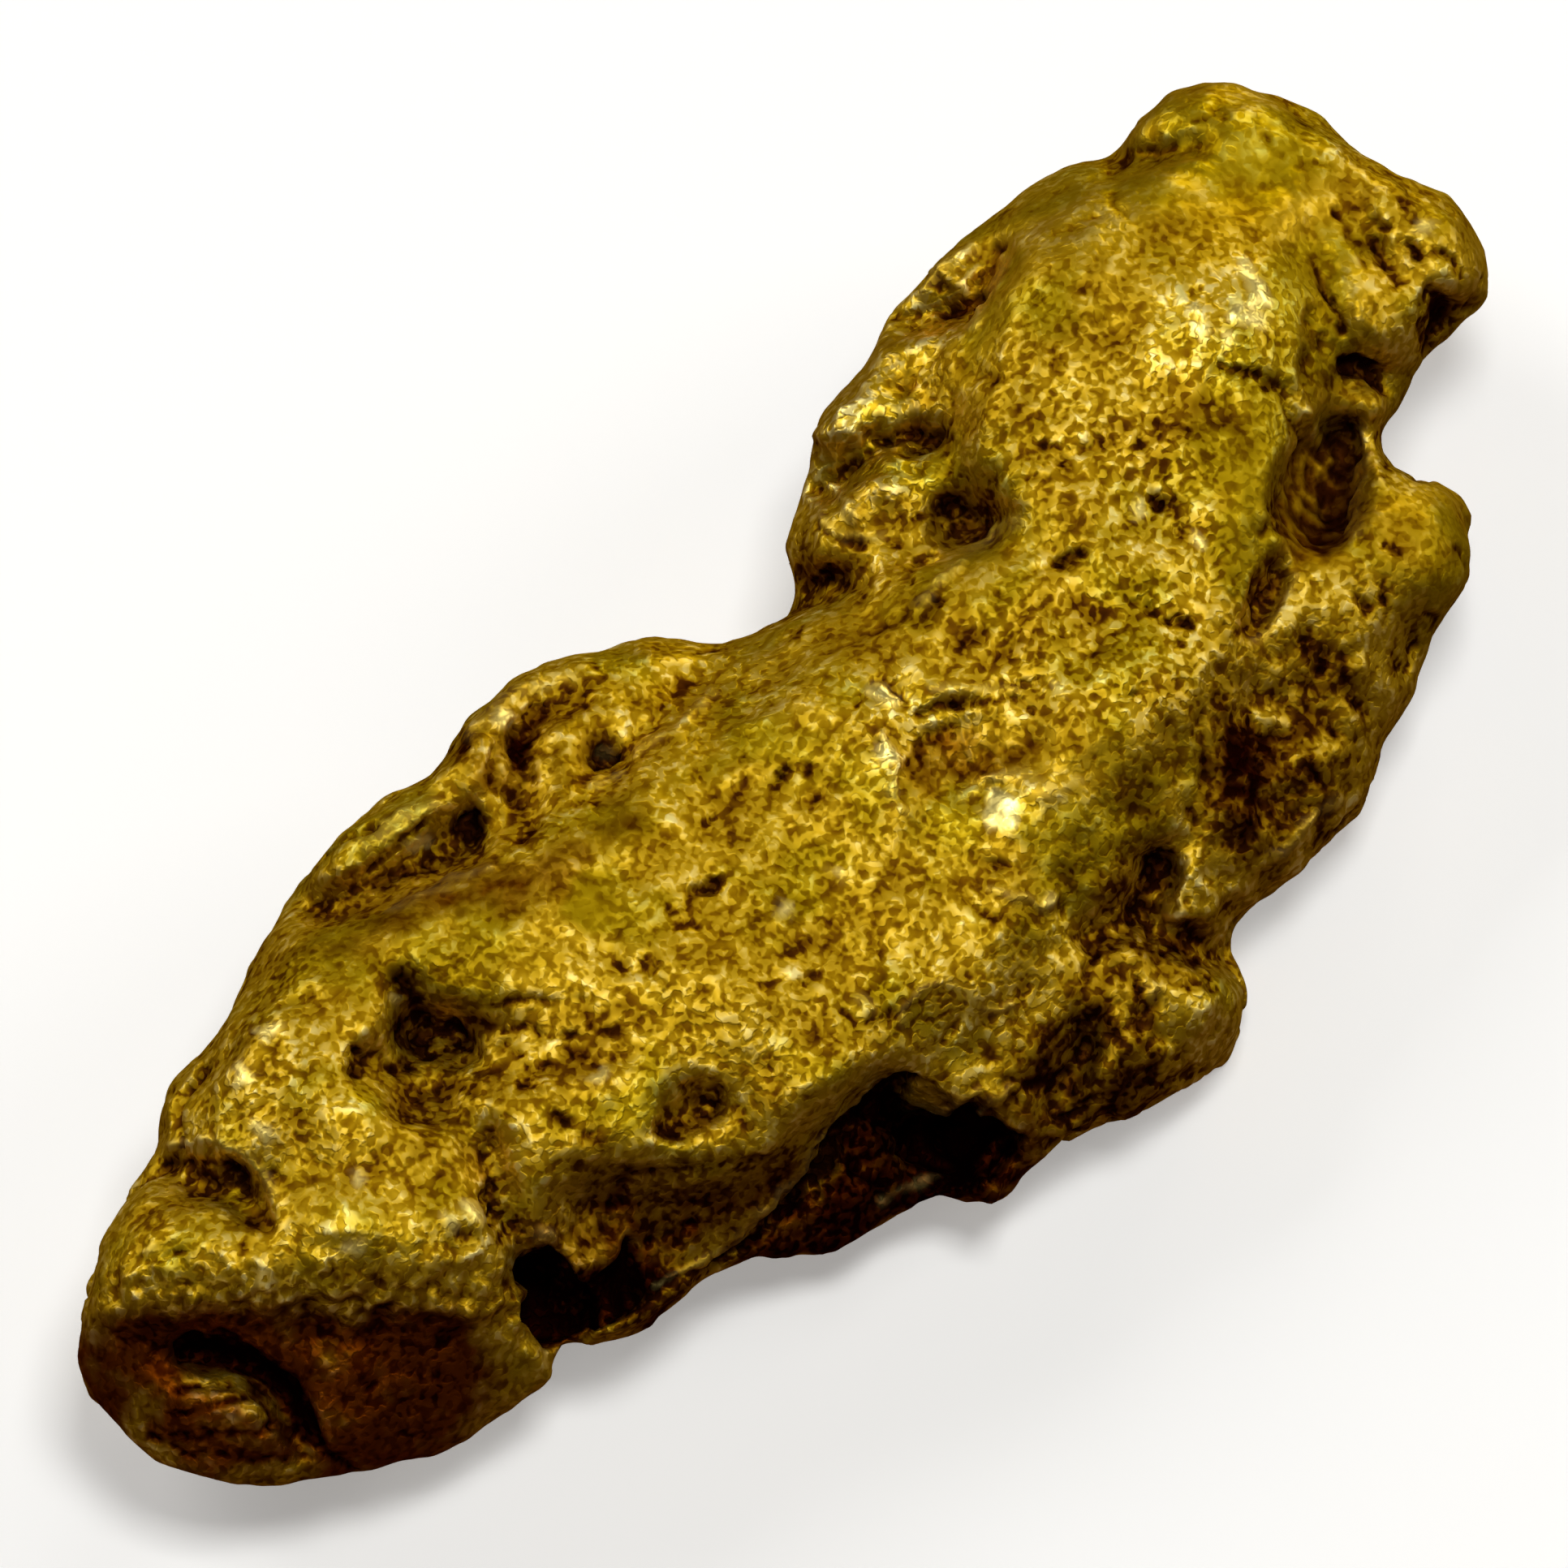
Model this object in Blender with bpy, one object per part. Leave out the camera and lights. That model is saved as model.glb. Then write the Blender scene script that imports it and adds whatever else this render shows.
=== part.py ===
"""A natural gold nugget: one water-worn lump of native gold, 19 mm long.

The lump is drawn on a plane that lies along its broad upper face.  Its outline is inflated into a
body, as a soap film would fill it.  Strokes and patches of relief raise its crest, lobes and knobs
and sink its gullies, pits and caves.  The upper and the lower sheet are then welded into one skin,
the side that faces the ground is roughened, the mesh is thinned, and the lowest knobs are cut off
level, as the worn patches that the nugget rests on.
"""

import math
from typing import NamedTuple

import bpy
import numpy as np
from mathutils import Matrix, Vector, noise

MM = 0.001  # the lump is modelled in millimetres and scaled to metres at the end

# How the drawing plane lies: u runs to its right, v up it and w out of it, towards the sky.
PLANE_TURN = math.radians(-47.1)  # about Z, so that the nugget's long axis comes to lie along X
PLANE_LEAN = math.radians(60.0)  # the plane's normal stands this high above the horizon
LONG_AXIS = math.radians(43.0)  # the long axis, as drawn on the plane

# The body, in millimetres.
GRID = 0.1  # spacing of the drawing grid
SWELL_OVER = 0.95  # share of the soap film's height above the middle surface
FLAT_TOP = 2.3  # the film is pressed flat as it nears this height
SWELL_UNDER = 0.8  # and below it
MIDDLE_FALL = (-0.394, -0.15)  # how the middle surface falls along and across the long axis
HEAD_LIFT = (2.0, 10.0, 0.5)  # from here to here along the axis, the head rises off the ground
GROUND_FALL = (-0.394, -0.422)  # the same for the ground
BELLY_DEPTH = 1.3  # from the middle surface down to the ground, on the long axis
BELLY_BLEND = 0.5  # how softly the belly flattens where it nears the ground
RIM_FADE = 0.55  # relief dies out over this height above the rim, so that the outline holds
LEAST_WALL = 0.7  # thinnest gold left under a pit
PIT_BLEND = 0.1  # how softly a pit's floor rounds off where the wall under it is that thin
SPAN_STEPS = 8  # straight pieces per span of a smooth line
RELAX_ROUNDS = 3000  # rounds of averaging until the soap film stands still

# Natural unevenness, each as its size and its strength.
EDGE_WANDER = (0.8, 0.13)
HAMMERED = [(1.7, 0.13), (0.75, 0.07)]
BELLY_HILLS = (2.9, 0.85)
UNDER_NODULES = (2.1, -0.9)
UNDER_DENTS = (1.0, 0.32)
LAYER_GAP = 10.7  # noise patterns are cut this far apart from one another, so that none repeats
GROUND_SIDE = (0.15, 0.65)  # the rough side fades in while the skin turns this far to the ground

# The skin.
WELD_VOXEL = 0.12
TARGET_TRIANGLES = 8600
WORN_DEPTH = 0.55  # how much of the lowest knobs is worn flat
CUTTER_SIZE = 40.0  # edge of the block that stands for the ground

GOLD_COLOUR = (0.55, 0.36, 0.035, 1.0)
GOLD_ROUGHNESS = 0.38


class Stroke(NamedTuple):
    """A stroke of relief: a path of (u, v), its half width, its height and how sharp its wall is."""

    name: str
    path: list
    half_width: float
    height: float
    sharpness: float = 0.0

    def share(self, u, v):
        away = distance_to_path(u, v, self.path) / self.half_width
        return smooth_step((1 - away) / (1 - self.sharpness))


class Patch(NamedTuple):
    """A raised or sunk area: its outline in (u, v), its height and how wide its wall is."""

    name: str
    outline: list
    height: float
    wall: float

    def share(self, u, v):
        inwards = distance_to_path(u, v, self.outline + self.outline[:1])
        inwards = np.where(is_inside(u, v, self.outline), inwards, -inwards)
        return smooth_step(0.5 + inwards / self.wall)


# The outline, clockwise in stretches from the left end, as (u, v) in millimetres.
BUTT_END = [
    (-6.95, -5.70), (-6.90, -5.25), (-6.75, -4.65), (-6.45, -4.05), (-6.15, -3.60),
]
LEFT_FLANK = [
    (-6.15, -3.20), (-6.00, -2.85), (-5.65, -2.60), (-5.20, -1.75), (-4.90, -1.20), (-4.55, -0.75),
    (-4.20, -0.35), (-3.80, -0.05), (-3.50, 0.00), (-3.35, 0.30), (-3.05, 0.70), (-2.60, 1.05),
    (-2.15, 1.25), (-1.80, 1.25), (-1.55, 1.40), (-1.25, 1.45), (-0.90, 1.40), (-0.55, 1.40),
]
FINGERS = [
    (0.00, 1.60), (0.05, 1.80), (0.15, 1.85), (-0.05, 2.30), (0.20, 2.95), (0.35, 3.65),
    (0.80, 4.10), (1.05, 4.65), (1.65, 5.25), (2.45, 5.90), (3.05, 6.15), (3.25, 6.10),
]
HEAD = [
    (3.30, 6.35), (3.80, 6.80), (4.40, 6.90), (5.10, 6.55), (5.50, 6.35), (6.10, 5.95),
    (6.45, 5.85), (6.75, 5.55), (6.95, 4.90), (6.85, 4.65), (6.35, 4.20),
]
NECK = [
    (6.10, 3.75), (5.85, 3.35), (6.15, 3.00),
]
SHOULDER = [
    (6.40, 2.95), (6.65, 2.75), (6.75, 2.05), (6.35, 1.35), (6.15, 0.70), (5.95, 0.50),
    (5.65, -0.35), (5.00, -0.95), (4.45, -1.35),
]
SIDE_KNOB = [
    (4.35, -1.75), (4.50, -1.90), (4.55, -2.25), (4.20, -2.85), (3.30, -3.35),
]
BELLY_EDGE = [
    (2.75, -3.50), (2.30, -3.85), (2.25, -4.05), (1.95, -4.20), (1.50, -4.10), (1.10, -4.25),
    (0.75, -4.50), (0.30, -4.65), (-0.25, -4.70), (-0.70, -4.85), (-1.40, -5.35), (-1.70, -5.50),
]
BUTT_FACE = [
    (-2.20, -5.60), (-2.25, -5.80), (-2.50, -6.05), (-3.40, -6.60), (-3.90, -6.70),
    (-4.65, -6.85), (-5.15, -6.90), (-5.70, -6.80), (-6.20, -6.60), (-6.55, -6.30),
]
OUTLINE = BUTT_END + LEFT_FLANK + FINGERS + HEAD + NECK + SHOULDER + SIDE_KNOB + BELLY_EDGE + BUTT_FACE

# The relief of the broad face, from the head down to the butt.
CREST_RELIEF = [
    Patch("top face", height=0.29, wall=0.96, outline=[
        (3.8, 5.95), (4.65, 5.4), (5.15, 4.15), (4.95, 2.95), (4.5, 1.65), (4.05, 0.55),
        (3.45, -0.35), (2.65, -1.15), (1.95, -2.25), (0.65, -2.9), (-0.15, -3.45), (-2.15, -3.8),
        (-3.25, -4.55), (-5.35, -4.8), (-6.35, -4.75), (-5.9, -3.8), (-5.65, -2.9), (-4.7, -1.65),
        (-3.25, -0.9), (-2.15, -0.35), (-0.55, 0.6), (0.75, 1.55), (2.0, 2.55), (1.8, 3.9),
        (2.2, 5.1), (3.0, 5.75),
    ]),
    Stroke("brow", half_width=0.88, height=0.11, path=[(2.9, 5.1), (3.8, 4.55), (4.5, 4.6)]),
    Stroke("shoulder swell", half_width=0.96, height=0.11, path=[(2.6, 0.3), (3.3, 0.85)]),
    Stroke("waist", half_width=0.8, height=-0.1, path=[(-0.55, 0.3), (0.25, -1.05), (0.35, -2.25)]),
    Stroke("belly swell", half_width=0.96, height=0.13, path=[(-0.85, -1.95), (0.75, -2.6)]),
    Stroke("haunch swell", half_width=1.04, height=0.16, path=[(-5.1, -2.5), (-4.35, -3.3)]),
    Patch("basin", height=-0.18, wall=0.36, outline=[
        (1.3, 0.6), (1.7, 0.75), (2.45, 0.75), (2.55, 0.3), (2.05, -0.15), (1.3, -0.05),
    ]),
]
HEAD_RELIEF = [
    Stroke("head knob", half_width=0.74, height=0.27, path=[(3.85, 6.6), (4.5, 6.55)]),
    Stroke("head crease", half_width=0.29, height=-0.42, path=[
        (3.15, 6.1), (3.55, 6.15), (4.05, 6.25),
    ]),
    Stroke("ear rim", half_width=0.48, height=0.24, path=[
        (5.1, 6.4), (5.85, 5.95), (6.55, 5.4), (6.65, 4.95),
    ]),
    Stroke("inner ear fold", half_width=0.32, height=-0.27, path=[
        (5.15, 5.3), (5.35, 4.95), (5.4, 4.3), (5.45, 3.55),
    ]),
    Stroke("outer ear fold", half_width=0.27, height=-0.21, path=[
        (5.45, 5.8), (5.7, 5.35), (6.1, 4.95),
    ]),
    Stroke("flap crease", half_width=0.21, height=-0.21, path=[
        (4.75, 3.95), (4.9, 3.65), (5.1, 3.3),
    ]),
    Patch("hollow under the ear", height=-0.6, wall=0.24, outline=[
        (6.4, 4.9), (6.95, 4.7), (6.6, 4.2), (6.25, 4.15), (6.3, 4.55),
    ]),
    Stroke("ear hole", half_width=0.29, height=-0.4, sharpness=0.3, path=[
        (5.7, 4.05), (5.85, 4.0),
    ]),
]
FINGER_RELIEF = [
    Patch("finger shelf", height=-0.37, wall=0.56, outline=[
        (0.15, 1.6), (0.7, 1.55), (1.2, 2.05), (2.15, 2.5), (1.9, 3.0), (1.8, 3.8), (2.0, 4.55),
        (2.2, 5.15), (2.6, 5.8), (0.65, 6.55), (-0.7, 3.75), (-0.7, 1.35),
    ]),
    Stroke("top finger", half_width=0.35, height=0.21, path=[(1.3, 4.85), (1.7, 5.2), (2.25, 5.6)]),
    Stroke("top finger gully", half_width=0.27, height=-0.4, sharpness=0.2, path=[
        (1.15, 4.55), (1.55, 4.65), (1.85, 4.75), (2.1, 5.15),
    ]),
    Stroke("middle finger", half_width=0.38, height=0.22, path=[
        (0.5, 3.5), (0.65, 3.8), (0.95, 4.2),
    ]),
    Stroke("finger hollow", half_width=0.34, height=-0.24, sharpness=0.2, path=[(1.2, 3.95)]),
    Stroke("middle finger gully", half_width=0.27, height=-0.42, sharpness=0.2, path=[
        (0.35, 2.95), (0.75, 3.2), (0.95, 3.35), (1.45, 3.4),
    ]),
    Stroke("low finger", half_width=0.42, height=0.19, path=[
        (0.25, 2.3), (0.45, 2.7), (1.15, 2.95),
    ]),
    Patch("gutter pit", height=-0.5, wall=0.21, outline=[
        (1.5, 2.75), (1.8, 2.85), (2.15, 2.6), (2.05, 2.4), (1.65, 2.2), (1.25, 2.05), (1.15, 2.15),
        (1.45, 2.35),
    ]),
    Stroke("corner crease", half_width=0.29, height=-0.4, sharpness=0.2, path=[
        (0.0, 1.9), (0.2, 1.8), (0.5, 2.0),
    ]),
]
NECK_RELIEF = [
    Patch("neck pocket", height=-0.84, wall=0.24, outline=[
        (5.25, 3.55), (5.6, 3.6), (5.65, 3.0), (5.55, 2.55), (5.25, 2.25), (5.0, 2.5), (4.85, 2.85),
        (5.0, 3.25),
    ]),
    Patch("pocket slit", height=-0.44, wall=0.18, outline=[
        (4.85, 2.3), (5.05, 2.35), (4.95, 1.75), (4.6, 1.35), (4.45, 1.55), (4.7, 1.95),
    ]),
    Stroke("neck bridge", half_width=0.21, height=0.18, path=[(5.8, 3.9), (5.8, 3.4), (5.8, 2.95)]),
    Stroke("shoulder lobe", half_width=0.76, height=0.27, path=[(6.25, 2.55), (6.35, 1.95)]),
    Patch("flank hollow", height=-0.27, wall=0.48, outline=[
        (4.4, 1.0), (5.0, 1.35), (5.3, 1.35), (5.4, 0.7), (5.05, 0.3), (5.15, -0.25), (4.75, -0.45),
        (4.55, 0.3),
    ]),
    Stroke("flank pit", half_width=0.3, height=-0.53, sharpness=0.3, path=[
        (3.65, -0.85), (3.55, -1.15),
    ]),
    Stroke("flank slot", half_width=0.22, height=-0.37, sharpness=0.3, path=[
        (6.25, 1.3), (6.2, 1.05),
    ]),
    Stroke("notch gully", half_width=0.27, height=-0.45, sharpness=0.2, path=[
        (4.35, -1.75), (3.95, -1.6), (3.45, -1.4), (3.05, -1.45),
    ]),
    Stroke("side knob", half_width=0.58, height=0.27, path=[(4.15, -2.2)]),
    Stroke("shelf gully", half_width=0.24, height=-0.45, sharpness=0.3, path=[
        (2.95, -2.45), (2.9, -2.75), (2.6, -3.05),
    ]),
    Stroke("shelf swell", half_width=0.64, height=0.14, path=[(3.45, -2.85)]),
]
BELLY_RELIEF = [
    Patch("undercut ledge", height=-0.58, wall=0.21, outline=[
        (1.2, -2.9), (0.85, -2.9), (0.45, -3.35), (0.25, -3.8), (-0.1, -4.15), (-0.55, -4.55),
        (-1.0, -4.8), (-1.35, -5.0), (-1.55, -5.8), (0.25, -5.25), (1.45, -4.65), (1.8, -4.05),
        (1.65, -3.4),
    ]),
    Patch("long cave", height=-0.8, wall=0.21, outline=[
        (1.0, -3.3), (1.3, -3.15), (1.85, -3.25), (2.35, -3.65), (2.35, -3.9), (2.05, -3.8),
        (1.8, -3.95), (1.35, -4.1), (1.1, -3.8),
    ]),
    Stroke("cave knob", half_width=0.37, height=0.32, path=[(2.0, -4.0)]),
    Patch("tongue face", height=-0.38, wall=0.6, outline=[
        (-2.2, -3.9), (-1.35, -3.85), (-0.3, -3.8), (0.35, -3.3), (0.75, -3.0), (0.5, -3.45),
        (0.3, -3.85), (-0.05, -4.2), (-0.5, -4.6), (-0.95, -4.85), (-1.4, -5.15), (-1.65, -4.85),
        (-2.15, -4.5),
    ]),
    Stroke("tongue crest", half_width=0.48, height=0.18, path=[
        (0.6, -2.85), (-0.05, -3.45), (-0.95, -3.8), (-2.05, -3.8),
    ]),
    Stroke("tongue pit", half_width=0.37, height=-0.4, sharpness=0.3, path=[
        (-1.05, -3.25), (-0.85, -3.15),
    ]),
    Patch("low cave", height=-1.12, wall=0.21, outline=[
        (-2.7, -4.75), (-2.5, -4.6), (-2.2, -4.7), (-2.0, -5.0), (-1.55, -4.75), (-1.35, -5.05),
        (-1.75, -5.45), (-2.0, -5.65), (-2.35, -5.6), (-2.65, -5.35),
    ]),
    Stroke("groove behind the butt", half_width=0.29, height=-0.37, sharpness=0.2, path=[
        (-2.95, -3.45), (-2.85, -3.85), (-2.7, -4.25), (-2.55, -4.65),
    ]),
]
HEART_RELIEF = [
    Patch("heart cavity", height=-0.5, wall=0.32, outline=[
        (-3.75, -1.85), (-3.5, -2.15), (-3.0, -2.3), (-2.95, -2.75), (-3.2, -3.35), (-3.75, -3.4),
        (-3.85, -3.0), (-4.3, -2.85), (-4.25, -2.55), (-3.8, -2.6), (-3.75, -2.25), (-3.85, -2.0),
    ]),
    Stroke("heart pit", half_width=0.35, height=-0.42, sharpness=0.2, path=[
        (-3.6, -2.45), (-3.25, -2.45),
    ]),
    Patch("plate recess", height=-0.22, wall=0.16, outline=[
        (-2.95, -2.2), (-2.15, -2.2), (-1.45, -2.25), (-1.45, -2.75), (-2.15, -2.9), (-2.85, -3.05),
        (-3.15, -2.65),
    ]),
]
LOBE_RELIEF = [
    Patch("far trough", height=-0.21, wall=0.48, outline=[
        (-3.25, -0.85), (-2.95, -0.15), (-2.6, 0.5), (-2.15, 0.85), (-1.65, 1.05), (-1.35, 0.85),
        (-0.95, 1.15), (-0.3, 1.35), (0.25, 1.4), (-0.05, 0.95), (-0.7, 0.55), (-1.35, 0.15),
        (-2.15, -0.35), (-2.75, -0.75),
    ]),
    Stroke("lower lobe", half_width=0.42, height=0.26, path=[
        (-4.55, -0.9), (-4.05, -0.45), (-3.5, -0.15),
    ]),
    Stroke("lower lobe gully", half_width=0.29, height=-0.5, sharpness=0.3, path=[
        (-4.65, -1.25), (-4.2, -1.1), (-3.65, -0.85), (-3.1, -0.45),
    ]),
    Stroke("middle lobe", half_width=0.37, height=0.21, path=[
        (-3.25, 0.15), (-2.95, 0.6), (-2.5, 0.95), (-1.95, 1.15),
    ]),
    Stroke("middle lobe gully", half_width=0.26, height=-0.27, sharpness=0.2, path=[
        (-2.6, -0.35), (-2.65, 0.3), (-2.5, 0.6), (-2.1, 0.85),
    ]),
    Stroke("upper lobe groove", half_width=0.21, height=-0.22, path=[
        (-1.6, 0.4), (-1.35, 0.6), (-1.2, 0.85), (-0.85, 1.1),
    ]),
    Stroke("stud hole", half_width=0.27, height=-0.45, sharpness=0.4, path=[
        (-1.85, 0.25), (-1.75, 0.2),
    ]),
]
BUTT_RELIEF = [
    Patch("left recess", height=-0.46, wall=0.24, outline=[
        (-6.15, -3.55), (-5.8, -3.65), (-5.25, -3.8), (-4.95, -4.25), (-5.15, -4.45), (-5.55, -4.1),
        (-6.1, -3.95),
    ]),
    Stroke("butt shoulder", half_width=0.88, height=0.3, path=[
        (-6.55, -4.9), (-5.5, -4.65), (-4.3, -4.5), (-3.25, -4.65),
    ]),
    Patch("butt face", height=-0.37, wall=0.72, outline=[
        (-7.1, -5.35), (-6.3, -5.2), (-5.75, -5.05), (-4.35, -5.0), (-3.25, -5.0), (-2.6, -5.45),
        (-2.15, -5.7), (-2.6, -6.6), (-3.9, -7.25), (-5.35, -7.3), (-6.95, -6.65),
    ]),
    Patch("crescent", height=-0.46, wall=0.14, outline=[
        (-6.05, -5.45), (-5.75, -5.4), (-5.35, -5.5), (-4.95, -5.6), (-4.7, -5.85), (-4.7, -6.2),
        (-4.5, -6.45), (-4.65, -6.65), (-4.95, -6.5), (-4.95, -6.2), (-5.1, -5.95), (-5.35, -5.8),
        (-5.7, -5.8), (-6.0, -5.65),
    ]),
    Stroke("flake", half_width=0.42, height=0.13, sharpness=0.2, path=[
        (-5.75, -6.15), (-5.25, -6.35),
    ]),
    Stroke("lower slit", half_width=0.18, height=-0.24, path=[(-4.7, -6.6), (-4.2, -6.75)]),
]
RELIEF = (
    CREST_RELIEF + HEAD_RELIEF + FINGER_RELIEF + NECK_RELIEF + BELLY_RELIEF + HEART_RELIEF
    + LOBE_RELIEF + BUTT_RELIEF
)

# The relief of the belly, whose heights are counted downwards, away from the middle surface.
UNDER_RELIEF = [
    Stroke("keel", half_width=1.3, height=0.35, path=[
        (-4.6, -4.4), (-2.2, -2.6), (0.4, -1.2), (2.2, 0.6),
    ]),
    Stroke("cross fold", half_width=0.5, height=-0.55, sharpness=0.2, path=[
        (-2.9, 0.6), (-2.1, -1.3), (-1.3, -3.6),
    ]),
    Stroke("forked fold", half_width=0.45, height=-0.5, sharpness=0.2, path=[
        (4.9, 2.2), (3.2, 1.9), (1.9, 2.4), (0.9, 3.3),
    ]),
    Stroke("heel pit", half_width=0.6, height=-0.6, sharpness=0.3, path=[
        (-5.1, -4.9), (-4.7, -5.3),
    ]),
    Stroke("belly pit", half_width=0.55, height=-0.6, sharpness=0.3, path=[
        (1.0, -2.4), (1.7, -2.0),
    ]),
    Stroke("side pit", half_width=0.5, height=-0.55, sharpness=0.3, path=[(3.2, -0.6)]),
    Stroke("chin knob", half_width=0.8, height=0.35, path=[(4.6, 5.4)]),
    Stroke("chin fold", half_width=0.4, height=-0.45, sharpness=0.2, path=[
        (2.4, 5.2), (3.6, 4.5), (5.0, 4.4),
    ]),
    Patch("belly scale", height=0.25, wall=0.3, outline=[
        (-1.6, -0.9), (0.1, 0.6), (0.9, -0.4), (-0.3, -1.9),
    ]),
]


def clear_scene():
    for old in list(bpy.data.objects):
        bpy.data.objects.remove(old, do_unlink=True)


def smooth_loop(points):
    """A closed Catmull-Rom curve through the points, as an array of (u, v)."""
    before, here, after, later = (np.roll(points, shift, axis=0) for shift in (1, 0, -1, -2))
    spans = []
    for t in np.arange(SPAN_STEPS) / SPAN_STEPS:
        spans.append(
            0.5
            * (
                2 * here
                + (after - before) * t
                + (2 * before - 5 * here + 4 * after - later) * t**2
                + (3 * here - before - 3 * after + later) * t**3
            )
        )
    return np.stack(spans, axis=1).reshape(-1, 2)


def is_inside(u, v, loop):
    """True at the grid points that the closed loop surrounds, by counting its crossings."""
    crossings = np.zeros(u.shape, dtype=int)
    for (u0, v0), (u1, v1) in zip(loop, np.roll(loop, -1, axis=0)):
        if v0 == v1:
            continue
        spans = (v0 > v) != (v1 > v)
        crossings += spans & (u < u0 + (v - v0) * (u1 - u0) / (v1 - v0))
    return crossings % 2 == 1


def distance_to_path(u, v, path):
    """Distance from every grid point to a path of straight pieces, or to a single point."""
    nearest = np.full(u.shape, np.inf)
    for (u0, v0), (u1, v1) in zip(path, path[1:] or path):
        along = np.array([u1 - u0, v1 - v0])
        length_squared = max(along @ along, 1e-9)
        share = np.clip(((u - u0) * along[0] + (v - v0) * along[1]) / length_squared, 0, 1)
        nearest = np.minimum(nearest, np.hypot(u - u0 - share * along[0], v - v0 - share * along[1]))
    return nearest


def smooth_step(value):
    value = np.clip(value, 0, 1)
    return value * value * (3 - 2 * value)


def smooth_max(a, b, blend):
    """The larger of two surfaces, rounded over where they cross."""
    overlap = np.clip(0.5 + (a - b) / (2 * blend), 0, 1)
    return b + (a - b) * overlap + blend * overlap * (1 - overlap)


def soap_film(inside):
    """Height of a film blown over the outline: the root of a potential that is zero on the rim."""
    potential = np.zeros(inside.shape)
    for _ in range(RELAX_ROUNDS):
        around = (
            np.roll(potential, 1, 0) + np.roll(potential, -1, 0)
            + np.roll(potential, 1, 1) + np.roll(potential, -1, 1)
        )
        potential = np.where(inside, around / 4 + GRID**2 / 2, 0)
    return np.sqrt(potential)


def clouds(u, v, size, layer):
    """Smooth noise between about -1 and 1 over the grid; each layer is a different pattern."""
    points = np.column_stack([u.ravel() / size, v.ravel() / size, np.full(u.size, layer * LAYER_GAP)])
    return np.array([noise.noise(Vector(point)) for point in points]).reshape(u.shape)


def relief_height(u, v, features):
    """All strokes and patches, with wandering edges, and the hammered unevenness between them."""
    size, reach = EDGE_WANDER
    wander_u = u + reach * clouds(u, v, size, 1)
    wander_v = v + reach * clouds(u, v, size, 2)
    height = sum(feature.height * feature.share(wander_u, wander_v) for feature in features)
    for layer, (size, strength) in enumerate(HAMMERED, start=3):
        height += strength * clouds(u, v, size, layer)
    return height


def on_long_axis(u, v):
    """Grid points as their place along and across the nugget's long axis."""
    along = u * math.cos(LONG_AXIS) + v * math.sin(LONG_AXIS)
    across = v * math.cos(LONG_AXIS) - u * math.sin(LONG_AXIS)
    return along, across


def middle_surface(u, v):
    """The surface that halves the lump: it passes through the whole outline."""
    along, across = on_long_axis(u, v)
    start, end, lift = HEAD_LIFT
    lifted = lift * smooth_step((along - start) / (end - start))
    return MIDDLE_FALL[0] * along + MIDDLE_FALL[1] * across + lifted


def body_sheets(u, v, inside):
    """The upper and the lower sheet of the lump, as heights w over the grid."""
    film = soap_film(inside)
    along, across = on_long_axis(u, v)
    middle = middle_surface(u, v)
    ground = GROUND_FALL[0] * along + GROUND_FALL[1] * across - BELLY_DEPTH
    size, strength = BELLY_HILLS
    ground = ground + strength * clouds(u, v, size, 0)
    under = smooth_max(middle - SWELL_UNDER * film, ground, BELLY_BLEND)
    under = np.minimum(under, middle)
    under = under - relief_height(u, v, UNDER_RELIEF) * smooth_step(film / RIM_FADE)
    pressed = FLAT_TOP * np.tanh(film / FLAT_TOP)
    over = middle + SWELL_OVER * pressed + relief_height(u, v, RELIEF) * smooth_step(film / RIM_FADE)
    over = smooth_max(over, under + np.minimum(LEAST_WALL, film), PIT_BLEND)
    return over, under


def plane_to_object():
    """The matrix that takes (u, v, w) on the drawing plane to the nugget's own axes."""
    turn, lean = PLANE_TURN, PLANE_LEAN
    right = (math.cos(turn), math.sin(turn), 0)
    up = (-math.sin(turn) * math.sin(lean), math.cos(turn) * math.sin(lean), math.cos(lean))
    out = (math.sin(turn) * math.cos(lean), -math.cos(turn) * math.cos(lean), math.sin(lean))
    return Matrix((right, up, out)).transposed().to_4x4()


def lump_mesh():
    """Both sheets as one closed mesh, welded along the outline."""
    loop = smooth_loop(np.array(OUTLINE))
    low, high = loop.min(axis=0) - 2 * GRID, loop.max(axis=0) + 2 * GRID
    u, v = np.meshgrid(np.arange(low[0], high[0], GRID), np.arange(low[1], high[1], GRID), indexing="ij")
    inside = is_inside(u, v, loop)
    over, under = body_sheets(u, v, inside)

    # A cell belongs to the lump when one of its corners is inside; its other corners move to the rim.
    cell = inside[:-1, :-1] | inside[1:, :-1] | inside[:-1, 1:] | inside[1:, 1:]
    rows, columns = np.nonzero(cell)
    corners = [(rows, columns), (rows + 1, columns), (rows + 1, columns + 1), (rows, columns + 1)]
    used = np.zeros(inside.shape, dtype=bool)
    for corner in corners:
        used[corner] = True
    for row, column in np.argwhere(used & ~inside):
        here = np.array([u[row, column], v[row, column]])
        u[row, column], v[row, column] = loop[np.argmin(((loop - here) ** 2).sum(axis=1))]
    middle = middle_surface(u, v)

    over_number = np.full(inside.shape, -1)
    over_number[used] = np.arange(used.sum())
    under_number = over_number.copy()
    under_number[inside] = used.sum() + np.arange(inside.sum())
    over_points = np.column_stack([u[used], v[used], np.where(inside, over, middle)[used]])
    under_points = np.column_stack([u[inside], v[inside], under[inside]])
    over_faces = np.column_stack([over_number[corner] for corner in corners])
    under_faces = np.column_stack([under_number[corner] for corner in reversed(corners)])

    mesh = bpy.data.meshes.new("nugget")
    points = np.vstack([over_points, under_points])
    mesh.from_pydata(points.tolist(), [], np.vstack([over_faces, under_faces]).tolist())
    mesh.transform(plane_to_object())
    return mesh


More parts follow.
